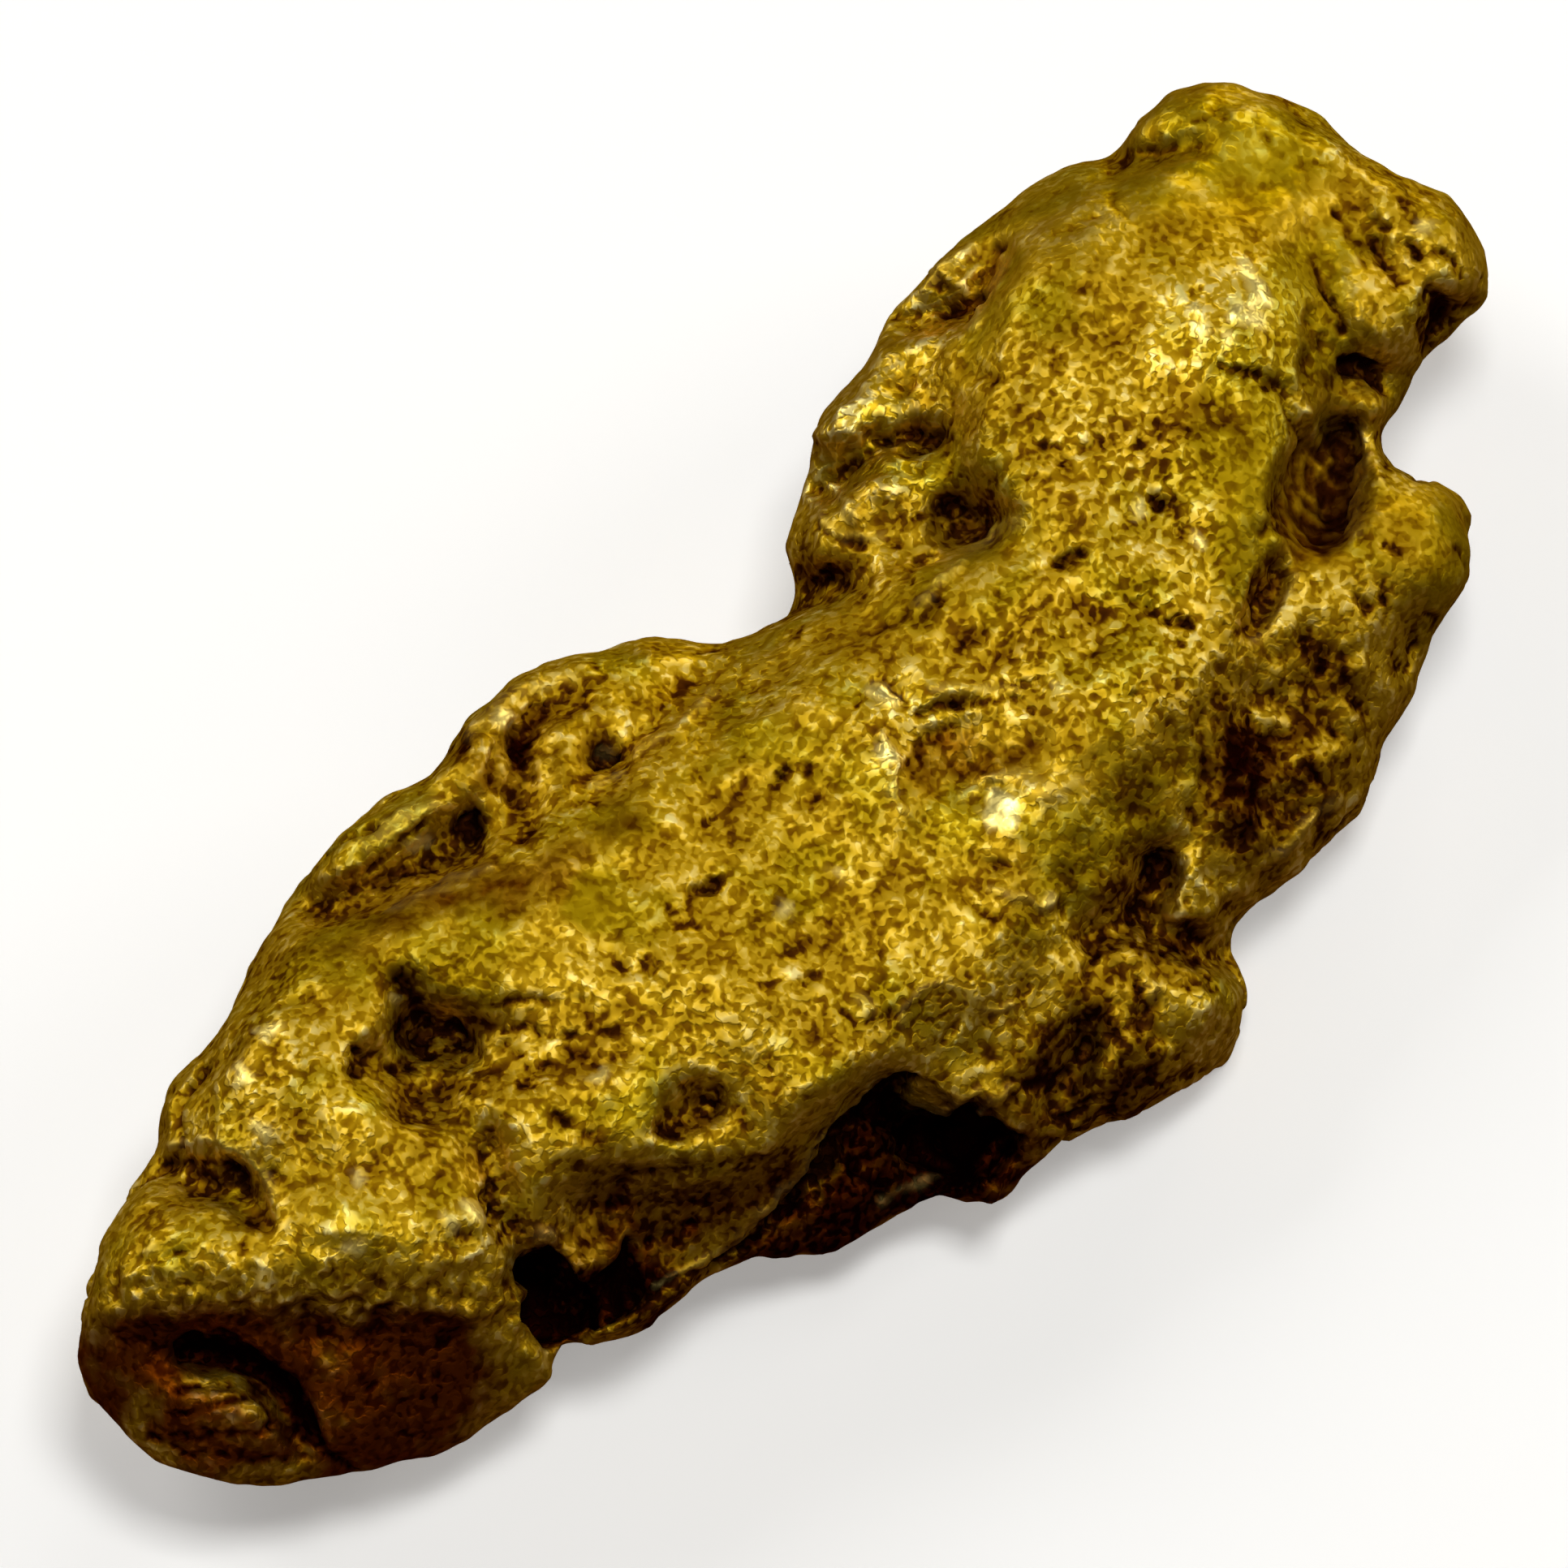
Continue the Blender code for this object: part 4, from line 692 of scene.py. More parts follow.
# %% Glints
# each glint paints a highlight into the colour
PAINTED_GLINTS = [
    Mark("head glints", 0.20, 0.02, [(1476, 380)], whole=True, glint=1.0),
    Mark("head glint low", 0.23, 0.02, [(1479, 404), (1484, 406)], whole=True, glint=1.0),
    Mark("head glint middle", 0.19, 0.02, [(1524, 388), (1532, 376)], whole=True, glint=1.0),
    Mark("head glint bow", 0.20, 0.02, [(1530, 332), (1544, 344), (1556, 366), (1548, 378)], whole=True,
         glint=0.9),
    Mark("head glint right", 0.24, 0.02, [(1540, 394), (1552, 396)], whole=True, glint=1.0),
    Mark("brow glint", 0.16, 0.01, [(1512, 408), (1514, 420)], whole=True, glint=0.7),
    Mark("ear glint", 0.19, 0.01, [(1746, 274), (1758, 280)], whole=True, glint=0.5),
    Mark("neck glint", 0.16, 0.02, [(1401, 620), (1403, 628)], whole=True, glint=1.0),
    Mark("neck glint low", 0.16, 0.02, [(1474, 660), (1482, 668)], whole=True, glint=0.9),
    Mark("bump glint", 0.24, 0.05, [(1078, 850), (1090, 856), (1100, 864)], whole=True, glint=0.6),
    Mark("ridge glint", 0.19, 0.02, [(1086, 922), (1096, 938)], whole=True, glint=0.8),
    Mark("facet", 0.35, 0.02, [(1234, 992), (1236, 1012)], sharp=0.6, whole=True, glint=1.0),
    Mark("slit glint", 0.16, 0.01, [(1302, 844), (1303, 852)], whole=True, glint=0.6),
    Mark("pebble glint", 0.16, 0.02, [(1294, 1108)], whole=True, glint=0.6),
    Mark("lobe glint", 0.19, 0.01, [(616, 886), (626, 892)], whole=True, glint=0.7),
    Mark("far glint", 0.16, 0.01, [(510, 1040), (526, 1034)], whole=True, glint=0.6),
    Mark("left glint", 0.18, 0.01, [(298, 1314), (300, 1330)], whole=True, glint=0.9),
    Mark("left glint high", 0.18, 0.01, [(322, 1274), (336, 1264)], whole=True, glint=0.8),
    Mark("left glint low", 0.18, 0.01, [(316, 1384), (328, 1398)], whole=True, glint=0.9),
    Mark("heart glint", 0.16, 0.01, [(484, 1230), (488, 1236)], whole=True, glint=0.6),
    Mark("butt glint", 0.18, 0.01, [(438, 1448), (442, 1460)], whole=True, glint=0.7),
    Mark("butt edge glint", 0.18, 0.01, [(552, 1502), (560, 1512)], whole=True, glint=0.7),
    Mark("groove glint", 0.18, 0.01, [(574, 1488), (584, 1496)], whole=True, glint=0.8),
    Mark("butt top glint", 0.16, 0.01, [(432, 1538), (446, 1542)], whole=True, glint=0.7),
    Mark("face glint", 0.16, 0.01, [(962, 1126), (968, 1122)], whole=True, glint=0.6),
    Mark("face glint low", 0.16, 0.01, [(1034, 1076), (1040, 1080)], whole=True, glint=0.5),
    Mark("tongue glint", 0.16, 0.01, [(736, 1330), (742, 1322)], whole=True, glint=0.6),
]
MARKS = HEAD + NECK + FINGERS + BODY + FLANK + BELLY + HEART + LOBES + BUTT + PAINTED_GLINTS
print(len(PAINTED_GLINTS), "glints, and", len(MARKS), "marks in all")

# %% [markdown]
# ## Rounding three folds
#
# The solid folds sharply in three places where the stream has long worn the gold round: the crest
# over the butt face, the crest of the tongue, and the ledge by the heart-shaped cavity. Smoothing
# the whole net would wash out everything else, so each fold is smoothed inside an outline of its
# own, and less and less towards its edge.


# %% Round the folds
class Fold(NamedTuple):
    name: str
    rounds: int  # of smoothing
    most: float  # share of the smoothing that the middle gets
    path: list  # places in frame units, across and down


FOLD_EDGE = 0.4  # the smoothing fades out over this width, in mm
FOLDS = [
    Fold("crest over the butt face", 320, 1.0, [(90, 1560), (160, 1500), (300, 1480), (480, 1480),
         (600, 1500), (680, 1580), (690, 1660), (600, 1680), (430, 1650), (300, 1640), (150, 1640),
         (100, 1620)]),
    Fold("crest of the tongue", 160, 0.8, [(620, 1400), (700, 1360), (850, 1370), (960, 1340),
         (1010, 1360), (960, 1460), (850, 1490), (720, 1480), (640, 1460)]),
    Fold("ledge by the heart", 260, 1.0, [(580, 1200), (660, 1180), (800, 1180), (840, 1260),
         (830, 1330), (700, 1360), (610, 1340), (590, 1270)]),
]


def soften_fold(points, edges, x, y, seen, fold):
    """Smooths the net inside the fold's outline, where it is seen."""
    inside = is_inside(x, y, fold.path) & seen
    distance = stroke_distance(x[inside], y[inside], fold.path, closed=True) * STEP
    share = fold.most * smooth_step(distance / FOLD_EDGE)
    order = np.cumsum(inside) - 1
    inner = order[edges[inside[edges].all(axis=1)]]
    calm = smoothed(points[inside], inner, fold.rounds)
    points[inside] += (calm - points[inside]) * share[:, None]


for fold in FOLDS:
    soften_fold(points, edges, across, down, facing > 0, fold)
write_points(skin.data, points)
normals = read_vectors(skin.data, "normal")
across, down = frame_units(points)
facing = normals @ np.array(OUT)
print("rounded folds:", ", ".join(fold.name for fold in FOLDS))

# %% [markdown]
# ## Pressing the marks in
#
# A little noise makes every edge wander, because nothing on a nugget is drawn with a ruler. The
# depth of a mark changes along it, and crumbs break it up, unless it is a whole one, such as a
# deep hole or a glint. Marks fade out where the skin turns away from the camera. Every narrow
# raised mark also gets a little painted highlight: its colour is mixed a little towards the glints'.

# %% Press the marks into the net
WANDERS = [(0.42, 0.060), (0.19, 0.048), (0.10, 0.028)]  # size and reach of the wandering, in mm
UNEVEN = Mottle(size=0.33, layer=6, middle=0.8, contrast=0.9, least=0.15, most=1.3)
CRUMBS = Mottle(size=0.15, layer=7, middle=0.8, contrast=0.9, least=0.1, most=1.2)
TURNED_AWAY = 0.25  # marks fade out below this share of facing the camera
# share of painted highlight that narrow raised marks get
CREST_PAINTED_HIGHLIGHT = 0.12
NARROW = 0.25  # a mark up to this width counts as narrow, in mm


def wander(points, x, y):
    """The frame places again, with every edge made to wander a little."""
    for layer, (size, reach) in enumerate(WANDERS, start=1):
        x = x + reach / STEP * perlin(points, size, 2 * layer)
        y = y + reach / STEP * perlin(points, size, 2 * layer + 1)
    return x, y


def press_marks(points, x, y, facing):
    """Height, stain with painted shade, and glint with painted highlight that all marks together give
    every point that faces the camera.
    """
    height, stain_and_shade, glint = np.zeros((3, len(points)))
    seen = smooth_step(facing / TURNED_AWAY)
    x, y = wander(points, x, y)
    uneven = mottled(points, UNEVEN)
    crumbs = mottled(points, CRUMBS)
    for mark in MARKS:
        reach = mark.width / STEP
        spots = np.array(mark.path)
        low, high = spots.min(axis=0) - reach, spots.max(axis=0) + reach
        near = (x > low[0]) & (x < high[0]) & (y > low[1]) & (y < high[1]) & (facing > 0)
        share = mark_share(x[near], y[near], mark) * seen[near]
        if not mark.whole:
            share = share * crumbs[near]
        is_crest = mark.width < NARROW and mark.height > 0
        painted_highlight = mark.glint or CREST_PAINTED_HIGHLIGHT * is_crest
        height[near] += mark.height * share * uneven[near]
        # stain past 1, and the patches of painted shade, paint the shade of caves and shaded faces
        stain_and_shade[near] = np.maximum(stain_and_shade[near], mark.stain_and_shade * share)
        glint[near] = np.maximum(glint[near], painted_highlight * share)
    return height, stain_and_shade, glint


mark_height, stain_and_shade, glint = press_marks(points, across, down, facing)
print("deepest mark:", round(float(mark_height.min()), 2), "mm")

# %% [markdown]
# ## Areas with a finish of their own
#
# A thin reddish film lies on the faces that look down: partly iron stain, and partly painted shade
# where the lamps don't reach. Crests that stones kept rubbing, and stretches that the lamps light
# well, get a lighter tone: partly wear, and partly painted light. A few sheltered stretches are
# calm and have almost no grain, the flank is rough and broken up into crumbs, some stretches are
# more olive, and on others the grain is curlier. Painting such masks by hand is the usual way.
# Here each area is an outline with a soft, ragged edge, and a strength for every finish that it
# has.


# %% What an area is
class Area(NamedTuple):
    name: str
    edge: float  # width over which its finishes fade out, in mm
    path: list  # places in frame units, across and down
    # reddish tint: iron stain, and painted shade on faces that look down
    film: float = 0.0
    # lighter tone: rubbed wear, and painted light where the lamps fall
    rubbed_and_lit: float = 0.0
    calm: float = 0.0
    rough: float = 0.0
    olive: float = 0.0
    curly: float = 0.0


print("an area has", ", ".join(Area._fields))

# %% The areas
# the film on faces that look down is painted shade as well as iron stain; the lighter tone on crests and
# lit stretches is painted light as well as wear
AREAS = [
    # painted shade: the butt face looks down, away from the lamps
    Area("butt face", 0.6, [(60, 1650), (100, 1630), (190, 1606), (300, 1604), (430, 1604), (560, 1604),
         (606, 1650), (612, 1730), (560, 1830), (400, 1840), (350, 1740), (290, 1700), (220, 1700),
         (180, 1740), (130, 1790), (60, 1780)], film=1.25),
    # painted shade on the flake of the butt face
    Area("flake of the butt", 0.4, [(200, 1700), (290, 1700), (350, 1750), (380, 1800), (260, 1820),
         (170, 1780)], film=1.2, rubbed_and_lit=0.1),
    # painted shade under the butt crest
    Area("under the butt crest", 0.8, [(150, 1570), (300, 1560), (560, 1570), (620, 1640), (560, 1660),
         (160, 1660)], film=0.25),
    # painted shade: the tongue looks down, away from the lamps
    Area("tongue", 0.4, [(620, 1530), (690, 1490), (720, 1450), (900, 1450), (980, 1430), (1000, 1450),
         (900, 1530), (800, 1590), (700, 1700), (640, 1660)], film=0.7, rough=0.3),
    # painted shade on the lower layer, under the lip
    Area("lower layer", 0.3, [(1060, 1360), (1120, 1340), (1260, 1370), (1300, 1480), (900, 1700),
         (780, 1660), (860, 1580), (960, 1500), (1020, 1450)], film=0.8, rough=0.7),
    # painted shade: the flank turns away from the lamps
    Area("flank", 0.5, [(1480, 830), (1560, 790), (1700, 800), (1710, 930), (1650, 1050), (1530, 1120),
         (1500, 1180), (1480, 1220), (1400, 1240), (1340, 1220), (1300, 1120), (1400, 1040),
         (1460, 960)], film=0.3, rough=0.9),
    # painted shade on the darkest stretch of the flank
    Area("dark flank", 0.5, [(1500, 840), (1600, 830), (1630, 920), (1620, 1010), (1540, 1070),
         (1470, 1020), (1490, 920)], film=0.4, rough=1.0),
    # painted shade on the shelf, which looks down
    Area("shelf", 0.4, [(1200, 1300), (1290, 1270), (1330, 1180), (1420, 1220), (1430, 1300),
         (1480, 1330), (1440, 1400), (1290, 1440), (1200, 1380)], film=0.2, rough=1.0),
    Area("corner by the fingers", 0.5, [(960, 720), (1060, 690), (1150, 600), (1100, 540), (1010, 600),
         (950, 780), (1020, 790)], film=0.25, rough=0.4),
    Area("slope of the lobes", 0.4, [(340, 1180), (440, 1130), (560, 1080), (660, 1040), (780, 980),
         (800, 1010), (700, 1080), (620, 1130), (480, 1160), (420, 1190)], film=0.7, calm=0.4,
         olive=1.0),
    Area("olive flat", 0.3, [(704, 1076), (752, 1076), (752, 1130), (720, 1144), (700, 1120)], calm=0.6,
         olive=1.0),
    Area("brow of the heart", 0.4, [(500, 1150), (600, 1130), (620, 1200), (560, 1250), (510, 1210)],
         film=0.25, olive=0.3),
    Area("face beside the heart", 0.6, [(580, 1240), (760, 1230), (800, 1320), (700, 1370), (590, 1350)],
         film=0.25, rough=0.3),
    # painted light where the lamps fall on the head's crown
    Area("head crown", 0.5, [(1440, 320), (1560, 300), (1590, 420), (1540, 470), (1440, 480),
         (1380, 440)], rubbed_and_lit=1.0, curly=0.6),
    # painted light on the head top
    Area("head top", 0.5, [(1240, 280), (1340, 190), (1420, 110), (1560, 120), (1640, 200), (1700, 300),
         (1690, 400), (1600, 430), (1580, 320), (1540, 280), (1400, 290), (1300, 310)], rubbed_and_lit=1.0,
         calm=0.4, olive=0.3),
    Area("right of the head", 0.5, [(1560, 280), (1640, 300), (1680, 420), (1640, 540), (1580, 470),
         (1560, 400)], calm=0.2, olive=0.8),
    Area("strip by the fingers", 0.4, [(1230, 290), (1290, 310), (1240, 380), (1215, 450), (1180, 560),
         (1150, 560), (1165, 470), (1200, 400)], calm=0.45, olive=0.3),
    Area("strip under the fingers", 0.4, [(1235, 650), (1180, 676), (1110, 715), (1060, 745),
         (1000, 800), (960, 800), (960, 830), (1040, 806), (1110, 765), (1180, 705), (1245, 665)],
         calm=0.45, olive=0.4),
    # painted light on the fingers
    Area("fingers", 0.4, [(1010, 480), (1110, 400), (1190, 320), (1230, 330), (1160, 470), (1140, 600),
         (1000, 640)], film=0.15, rubbed_and_lit=1.5, olive=0.2),
    Area("ear", 0.3, [(1640, 200), (1720, 210), (1840, 290), (1840, 380), (1770, 360), (1700, 330)],
         film=0.1, calm=0.2),
    Area("lobe", 0.5, [(1700, 600), (1800, 600), (1820, 720), (1770, 740), (1720, 700), (1680, 640)],
         calm=0.35, olive=0.5),
    Area("neck side", 0.4, [(1510, 490), (1570, 490), (1580, 680), (1540, 740), (1500, 760),
         (1510, 640)], calm=0.3, olive=0.6),
    # a little painted light on the neck face
    Area("neck face", 0.6, [(1300, 480), (1420, 490), (1490, 580), (1500, 680), (1460, 800),
         (1360, 760), (1320, 600)], rubbed_and_lit=0.3, curly=1.0),
    # a little painted light on the shoulder
    Area("shoulder", 0.6, [(1240, 740), (1440, 720), (1500, 800), (1460, 900), (1300, 900), (1180, 840)],
         rubbed_and_lit=0.3, curly=0.8),
    # painted light on the body crest
    Area("body crest", 0.5, [(1040, 830), (1150, 900), (1260, 940), (1340, 950), (1300, 1000),
         (1200, 1040), (1050, 950)], rubbed_and_lit=0.9),
    # painted light on the far side of the broad face
    Area("far side", 0.5, [(780, 800), (960, 780), (1000, 830), (900, 880), (800, 900)], rubbed_and_lit=0.7),
    Area("middle lobe", 0.5, [(560, 920), (620, 860), (700, 900), (680, 980), (580, 1000)], film=0.6,
         rough=0.8),
    # painted light on the side knob
    Area("side knob", 0.4, [(1400, 1190), (1500, 1180), (1530, 1250), (1480, 1310), (1410, 1290)],
         rubbed_and_lit=0.6),
    # painted light on the ridge of the body
    Area("ridge of the body", 0.4, [(1040, 830), (1130, 810), (1210, 900), (1180, 970), (1060, 950)],
         rubbed_and_lit=1.0, curly=0.5),
    Area("pocket by the lobe", 0.3, [(1590, 540), (1640, 530), (1670, 600), (1650, 690), (1600, 700),
         (1575, 620)], film=0.3, calm=0.7),
    Area("basin", 0.4, [(1150, 892), (1230, 882), (1282, 902), (1290, 940), (1232, 955), (1180, 960),
         (1140, 980), (1118, 960)], film=0.5, calm=0.3),
    Area("green side", 0.5, [(1240, 1030), (1400, 970), (1430, 1020), (1320, 1120), (1280, 1090)],
         rough=0.3, olive=1.0),
    Area("lower face", 0.6, [(930, 1240), (1100, 1190), (1260, 1200), (1280, 1290), (1060, 1330),
         (940, 1320)], curly=0.6),
    # a little painted light on the left crest
    Area("left crest", 0.5, [(250, 1280), (360, 1240), (440, 1360), (470, 1440), (400, 1460),
         (300, 1420)], film=0.15, rubbed_and_lit=0.2, curly=0.4),
    # painted light on the butt crest
    Area("butt crest", 0.5, [(330, 1480), (560, 1470), (610, 1560), (480, 1590), (340, 1570)],
         rubbed_and_lit=0.5),
    # painted light on the dimly lit band over the butt face
    Area("butt band", 0.5, [(160, 1550), (300, 1545), (560, 1545), (610, 1600), (430, 1610),
         (160, 1610)], rubbed_and_lit=0.35),
    # painted light on the belly crest
    Area("belly crest", 0.4, [(690, 1400), (760, 1330), (900, 1290), (1020, 1290), (1000, 1370),
         (900, 1440), (720, 1440)], rubbed_and_lit=0.4),
]
print("areas:", ", ".join(area.name for area in AREAS))

# %% [markdown]
# On the far side no area is drawn. There the same finishes are dealt out by noise, each in spots
# of its own size. The edges of the areas on the broad face are made ragged by noise too.

# %% Give every point its finishes
AWAY_SPOTS = {  # size of the spots on the far side, in mm
    "film": 3.1,
    "rubbed_and_lit": 2.2,
    "calm": 2.6,
    "rough": 2.9,
    "olive": 2.4,
    "curly": 2.0,
}
AWAY_LAYER = 40
AWAY_MIDDLE, AWAY_CONTRAST = 0.1, 1.4
AWAY_FADE = 0.4  # the far side's spots fade in as the skin turns this far away
RAGGED_LAYER = 50
RAGGED = [(0.9, 0.14), (0.35, 0.12)]  # size and reach of the ragged edges, in mm


def finish_of_areas(points, x, y, facing):
    """How strongly every point has every finish."""
    away = smooth_step(-facing / AWAY_FADE)
    ragged = sum(
        reach * perlin(points, size, layer)
        for layer, (size, reach) in enumerate(RAGGED, start=RAGGED_LAYER)
    )
    shares = {}
    x, y = wander(points, x, y)
    for layer, (kind, size) in enumerate(AWAY_SPOTS.items(), start=AWAY_LAYER):
        spots = AWAY_MIDDLE + AWAY_CONTRAST * perlin(points, size, layer)
        shares[kind] = away * smooth_step(spots)
    for area in AREAS:
        inwards = depth_inside(x, y, area.path) + ragged
        share = smooth_step(0.5 + inwards / area.edge) * (facing > 0)
        for kind in shares:
            shares[kind] = np.maximum(shares[kind], getattr(area, kind) * share)
    return shares


finish = finish_of_areas(points, across, down, facing)
for kind, share in finish.items():
    print(kind, "covers", round(100 * float((share > 0.5).mean())), "% of the net")

# %% [markdown]
# ## The far side
#
# The sides turned away from the camera are pitted and creased as the broad face is, but no one
# knows where. Pits and creases are scattered there by a seeded draw, so that they lie the same in
# every run. A crease starts at a drawn point and walks over the net with a wandering heading.

# %% Scatter pits
SEED = 19
rng = np.random.default_rng(SEED)
HIDDEN = 0.05  # points that face the camera less than this are on the far side
AWAY_PITS = 150
PIT_RADIUS = (0.08, 0.26)  # the least, and how much more it may be, in mm
PIT_DEPTHS = (0.35, 0.7)  # as shares of the radius
PIT_WALL = 0.7  # share of the radius that the wall takes up
PIT_STAIN = 0.9


def scatter_pits(points, hidden, height, stain_and_shade):
    """Takes pits off the height, and lays stain in them."""
    for spot in rng.choice(hidden, AWAY_PITS):
        radius = PIT_RADIUS[0] + PIT_RADIUS[1] * rng.random() ** 2
        depth = radius * rng.uniform(*PIT_DEPTHS)
        near = np.abs(points - points[spot]).max(axis=1) < radius
        distance = np.linalg.norm(points[near] - points[spot], axis=1)
        share = smooth_step((1 - distance / radius) / PIT_WALL)
        height[near] -= depth * share
        stain_and_shade[near] = np.maximum(stain_and_shade[near], PIT_STAIN * share)


hidden = np.nonzero(facing < HIDDEN)[0]
away_height, away_stain = np.zeros((2, len(points)))
scatter_pits(points, hidden, away_height, away_stain)
print("pits scattered on the far side:", AWAY_PITS)

# %% Scatter creases
AWAY_CREASES = 46
CREASE_HALF_WIDTHS = (0.08, 0.19)  # in mm
CREASE_STRIDES = (5, 12)  # from five to eleven
STRIDE = 0.22  # mm
STRIDE_REACH = 0.5  # the next point is looked for within this distance, in mm
SWERVE = 0.6
CREASE_WALL = 0.8  # share of the half width that the wall takes up
CREASE_DEPTH = 0.7  # as a share of the half width
CREASE_STAIN = 0.6
BROKEN = Mottle(size=0.33, layer=60, middle=0.7, contrast=1.0)


def scatter_creases(points, normals, hidden, height, stain_and_shade):
    """Lowers the height along creases, and lays stain in them."""
    broken = smooth_step(mottled(points, BROKEN))
    for spot in rng.choice(hidden, AWAY_CREASES):
        here = points[spot]
        heading = rng.normal(size=3)
        half = rng.uniform(*CREASE_HALF_WIDTHS)
        for _ in range(rng.integers(*CREASE_STRIDES)):
            normal = normals[spot]
            heading = heading + SWERVE * rng.normal(size=3)
            heading -= normal * (heading @ normal)
            heading /= np.linalg.norm(heading)
            there = here + heading * STRIDE
            choices = np.nonzero(np.abs(points - here).max(axis=1) < STRIDE_REACH)[0]
            spot = choices[np.argmin(np.linalg.norm(points[choices] - there, axis=1))]
            along = points[spot] - here
            part = (points[choices] - here) @ along / max(along @ along, TINY)
            part = np.clip(part, 0, 1)[:, None]
            distance = np.linalg.norm(points[choices] - here - part * along, axis=1)
            share = smooth_step((1 - distance / half) / CREASE_WALL) * broken[choices]
            height[choices] = np.minimum(height[choices], -CREASE_DEPTH * half * share)
            stain_and_shade[choices] = np.maximum(stain_and_shade[choices], CREASE_STAIN * share)
            here = points[spot]


scatter_creases(points, normals, hidden, away_height, away_stain)
print("creases scattered on the far side:", AWAY_CREASES)

# %% [markdown]
# ## Hammering
#
# The whole skin carries the knocks of the stream bed, from dents most of a millimetre across down
# to a grain of a tenth of a millimetre. The larger ones are geometry, as noise of falling size. The
# finest would need a net many times as dense, so it is left to the material.

# %% Hammered dents and clumps
DENTS = [(1.5, 0.034), (0.62, 0.040)]  # size and height in mm
CLUMPS = [(0.30, 0.026), (0.18, 0.015)]
DENT_LAYER, CLUMP_LAYER = 8, 10
ROUGH_ADDS = 1.2  # rough ground has clumps that are this share higher
CALM_TAKES = 0.6  # and calm ground has clumps that are this share lower


def hammer(points, finish):
    """Broad dents everywhere, and clumps that are stronger on rough ground and weaker on calm."""
    height = np.zeros(len(points))
    for layer, (size, strength) in enumerate(DENTS, start=DENT_LAYER):
        height += strength * perlin(points, size, layer)
    strengthened = (1 + ROUGH_ADDS * finish["rough"]) * (1 - CALM_TAKES * finish["calm"])
    for layer, (size, strength) in enumerate(CLUMPS, start=CLUMP_LAYER):
        height += strength * strengthened * perlin(points, size, layer)
    return height


points = points + normals * (mark_height + away_height + hammer(points, finish))[:, None]
stain_and_shade = np.maximum(stain_and_shade, away_stain)
write_points(skin.data, points)
print("relief from", round(float((mark_height + away_height).min()), 2), "mm")

# %% [markdown]
# ## Where dirt lies and where the metal is rubbed bright
#
# Dirt gathers wherever the skin lies below its surroundings, and stones polish whatever stands
# proud. Both are found by smoothing the net and asking how far each point lies below or above the
# smoothed one. The result is stored on the points, for the material to read.

# %% Hollow and proud
NEAR_ROUNDS = 12  # of smoothing, for the level that grains and lips stand proud of
FAR_ROUNDS = 90  # and for the level that pits and gullies lie below
PROUD_HEIGHT = 0.03  # from fully sunk to fully proud, in mm
HOLLOW_DEPTH = 0.10  # where dirt is at its thickest, in mm
HOLLOW_SHARE = 0.8  # a hollow alone is less dirty than the stain of a mark
PATCHY = Mottle(size=1.1, layer=30, middle=0.5, contrast=0.8)
PATCHY_SHARE = 0.25  # how much of the grain the smoother patches lose
CURLY_SHARE = 0.3  # how much more grain the curly areas have
MOST_GRAIN = 1.3


def height_over(level):
    """How far every point stands over a smoothed level, in mm."""
    return ((points - level) * normals).sum(axis=1)


normals = read_vectors(skin.data, "normal")
near_level = smoothed(points, edges, NEAR_ROUNDS)
far_level = smoothed(near_level, edges, FAR_ROUNDS)
hollow = np.clip(-height_over(far_level) / HOLLOW_DEPTH, 0, 1)
proud = np.clip(0.5 + height_over(near_level) / PROUD_HEIGHT, 0, 1)
grainy = 1 - finish["calm"] - PATCHY_SHARE * mottled(points, PATCHY)
grainy = np.clip(grainy + CURLY_SHARE * finish["curly"], 0, MOST_GRAIN)
print("mean hollow:", round(float(hollow.mean()), 3))

# %% Store the values on the points
STORED = {
    # dirt in the hollows and the marks' stain, which carries the painted shade of caves and shaded faces
    "dirt_and_shade": np.maximum(stain_and_shade, HOLLOW_SHARE * hollow),
    "proud": proud,
    "glint": glint,
    "grainy": grainy,
    "film": finish["film"],
    "rubbed_and_lit": finish["rubbed_and_lit"],
    "rough": finish["rough"],
    "olive": finish["olive"],
}
for name, values in STORED.items():
    attribute = skin.data.attributes.new(name, "FLOAT", "POINT")
    attribute.data.foreach_set("value", values.astype(np.float32))
print("stored on the points:", ", ".join(STORED))

# %% [markdown]
# The even net has more triangles than a piece needs, because flat stretches don't use them. A
# decimation takes triangles out where the skin is flattest and carries the stored values along.

# %% Thin the net where it is flat
MOST_TRIANGLES = 196000
thin = skin.modifiers.new("thin", "DECIMATE")
thin.use_collapse_triangulate = True
thin.ratio = min(1, MOST_TRIANGLES / (2 * len(skin.data.polygons)))
apply_modifiers(skin)
skin.data.transform(Matrix.Scale(MM, 4))
skin.data.shade_smooth()
print("the skin has", len(skin.data.polygons), "triangles")

# %% [markdown]
# ## The material: water-worn native gold
#
# Native gold is a metal, so its colour is the colour of its reflection, and its index of
# refraction stays at the default. Stones hammer its skin rather than polish it, which makes it
# half matt. What changes from place to place comes from the values stored on the points and from
# noise whose periods are real sizes. Painted textures could do the same, but noise needs no
# unwrapping, and it is as sharp on every side. Two helpers come first: one turns a hex colour to
# linear, and one adds a node.


# %% Colours and a node helper
def linear(hex_colour):
    """An sRGB hex colour as the linear values that a shader takes."""
    channels = [int(hex_colour[i : i + 2], 16) / 255 for i in (1, 3, 5)]
    spread = [c / 12.92 if c <= 0.04045 else ((c + 0.055) / 1.055) ** 2.4 for c in channels]
    return (*spread, 1.0)


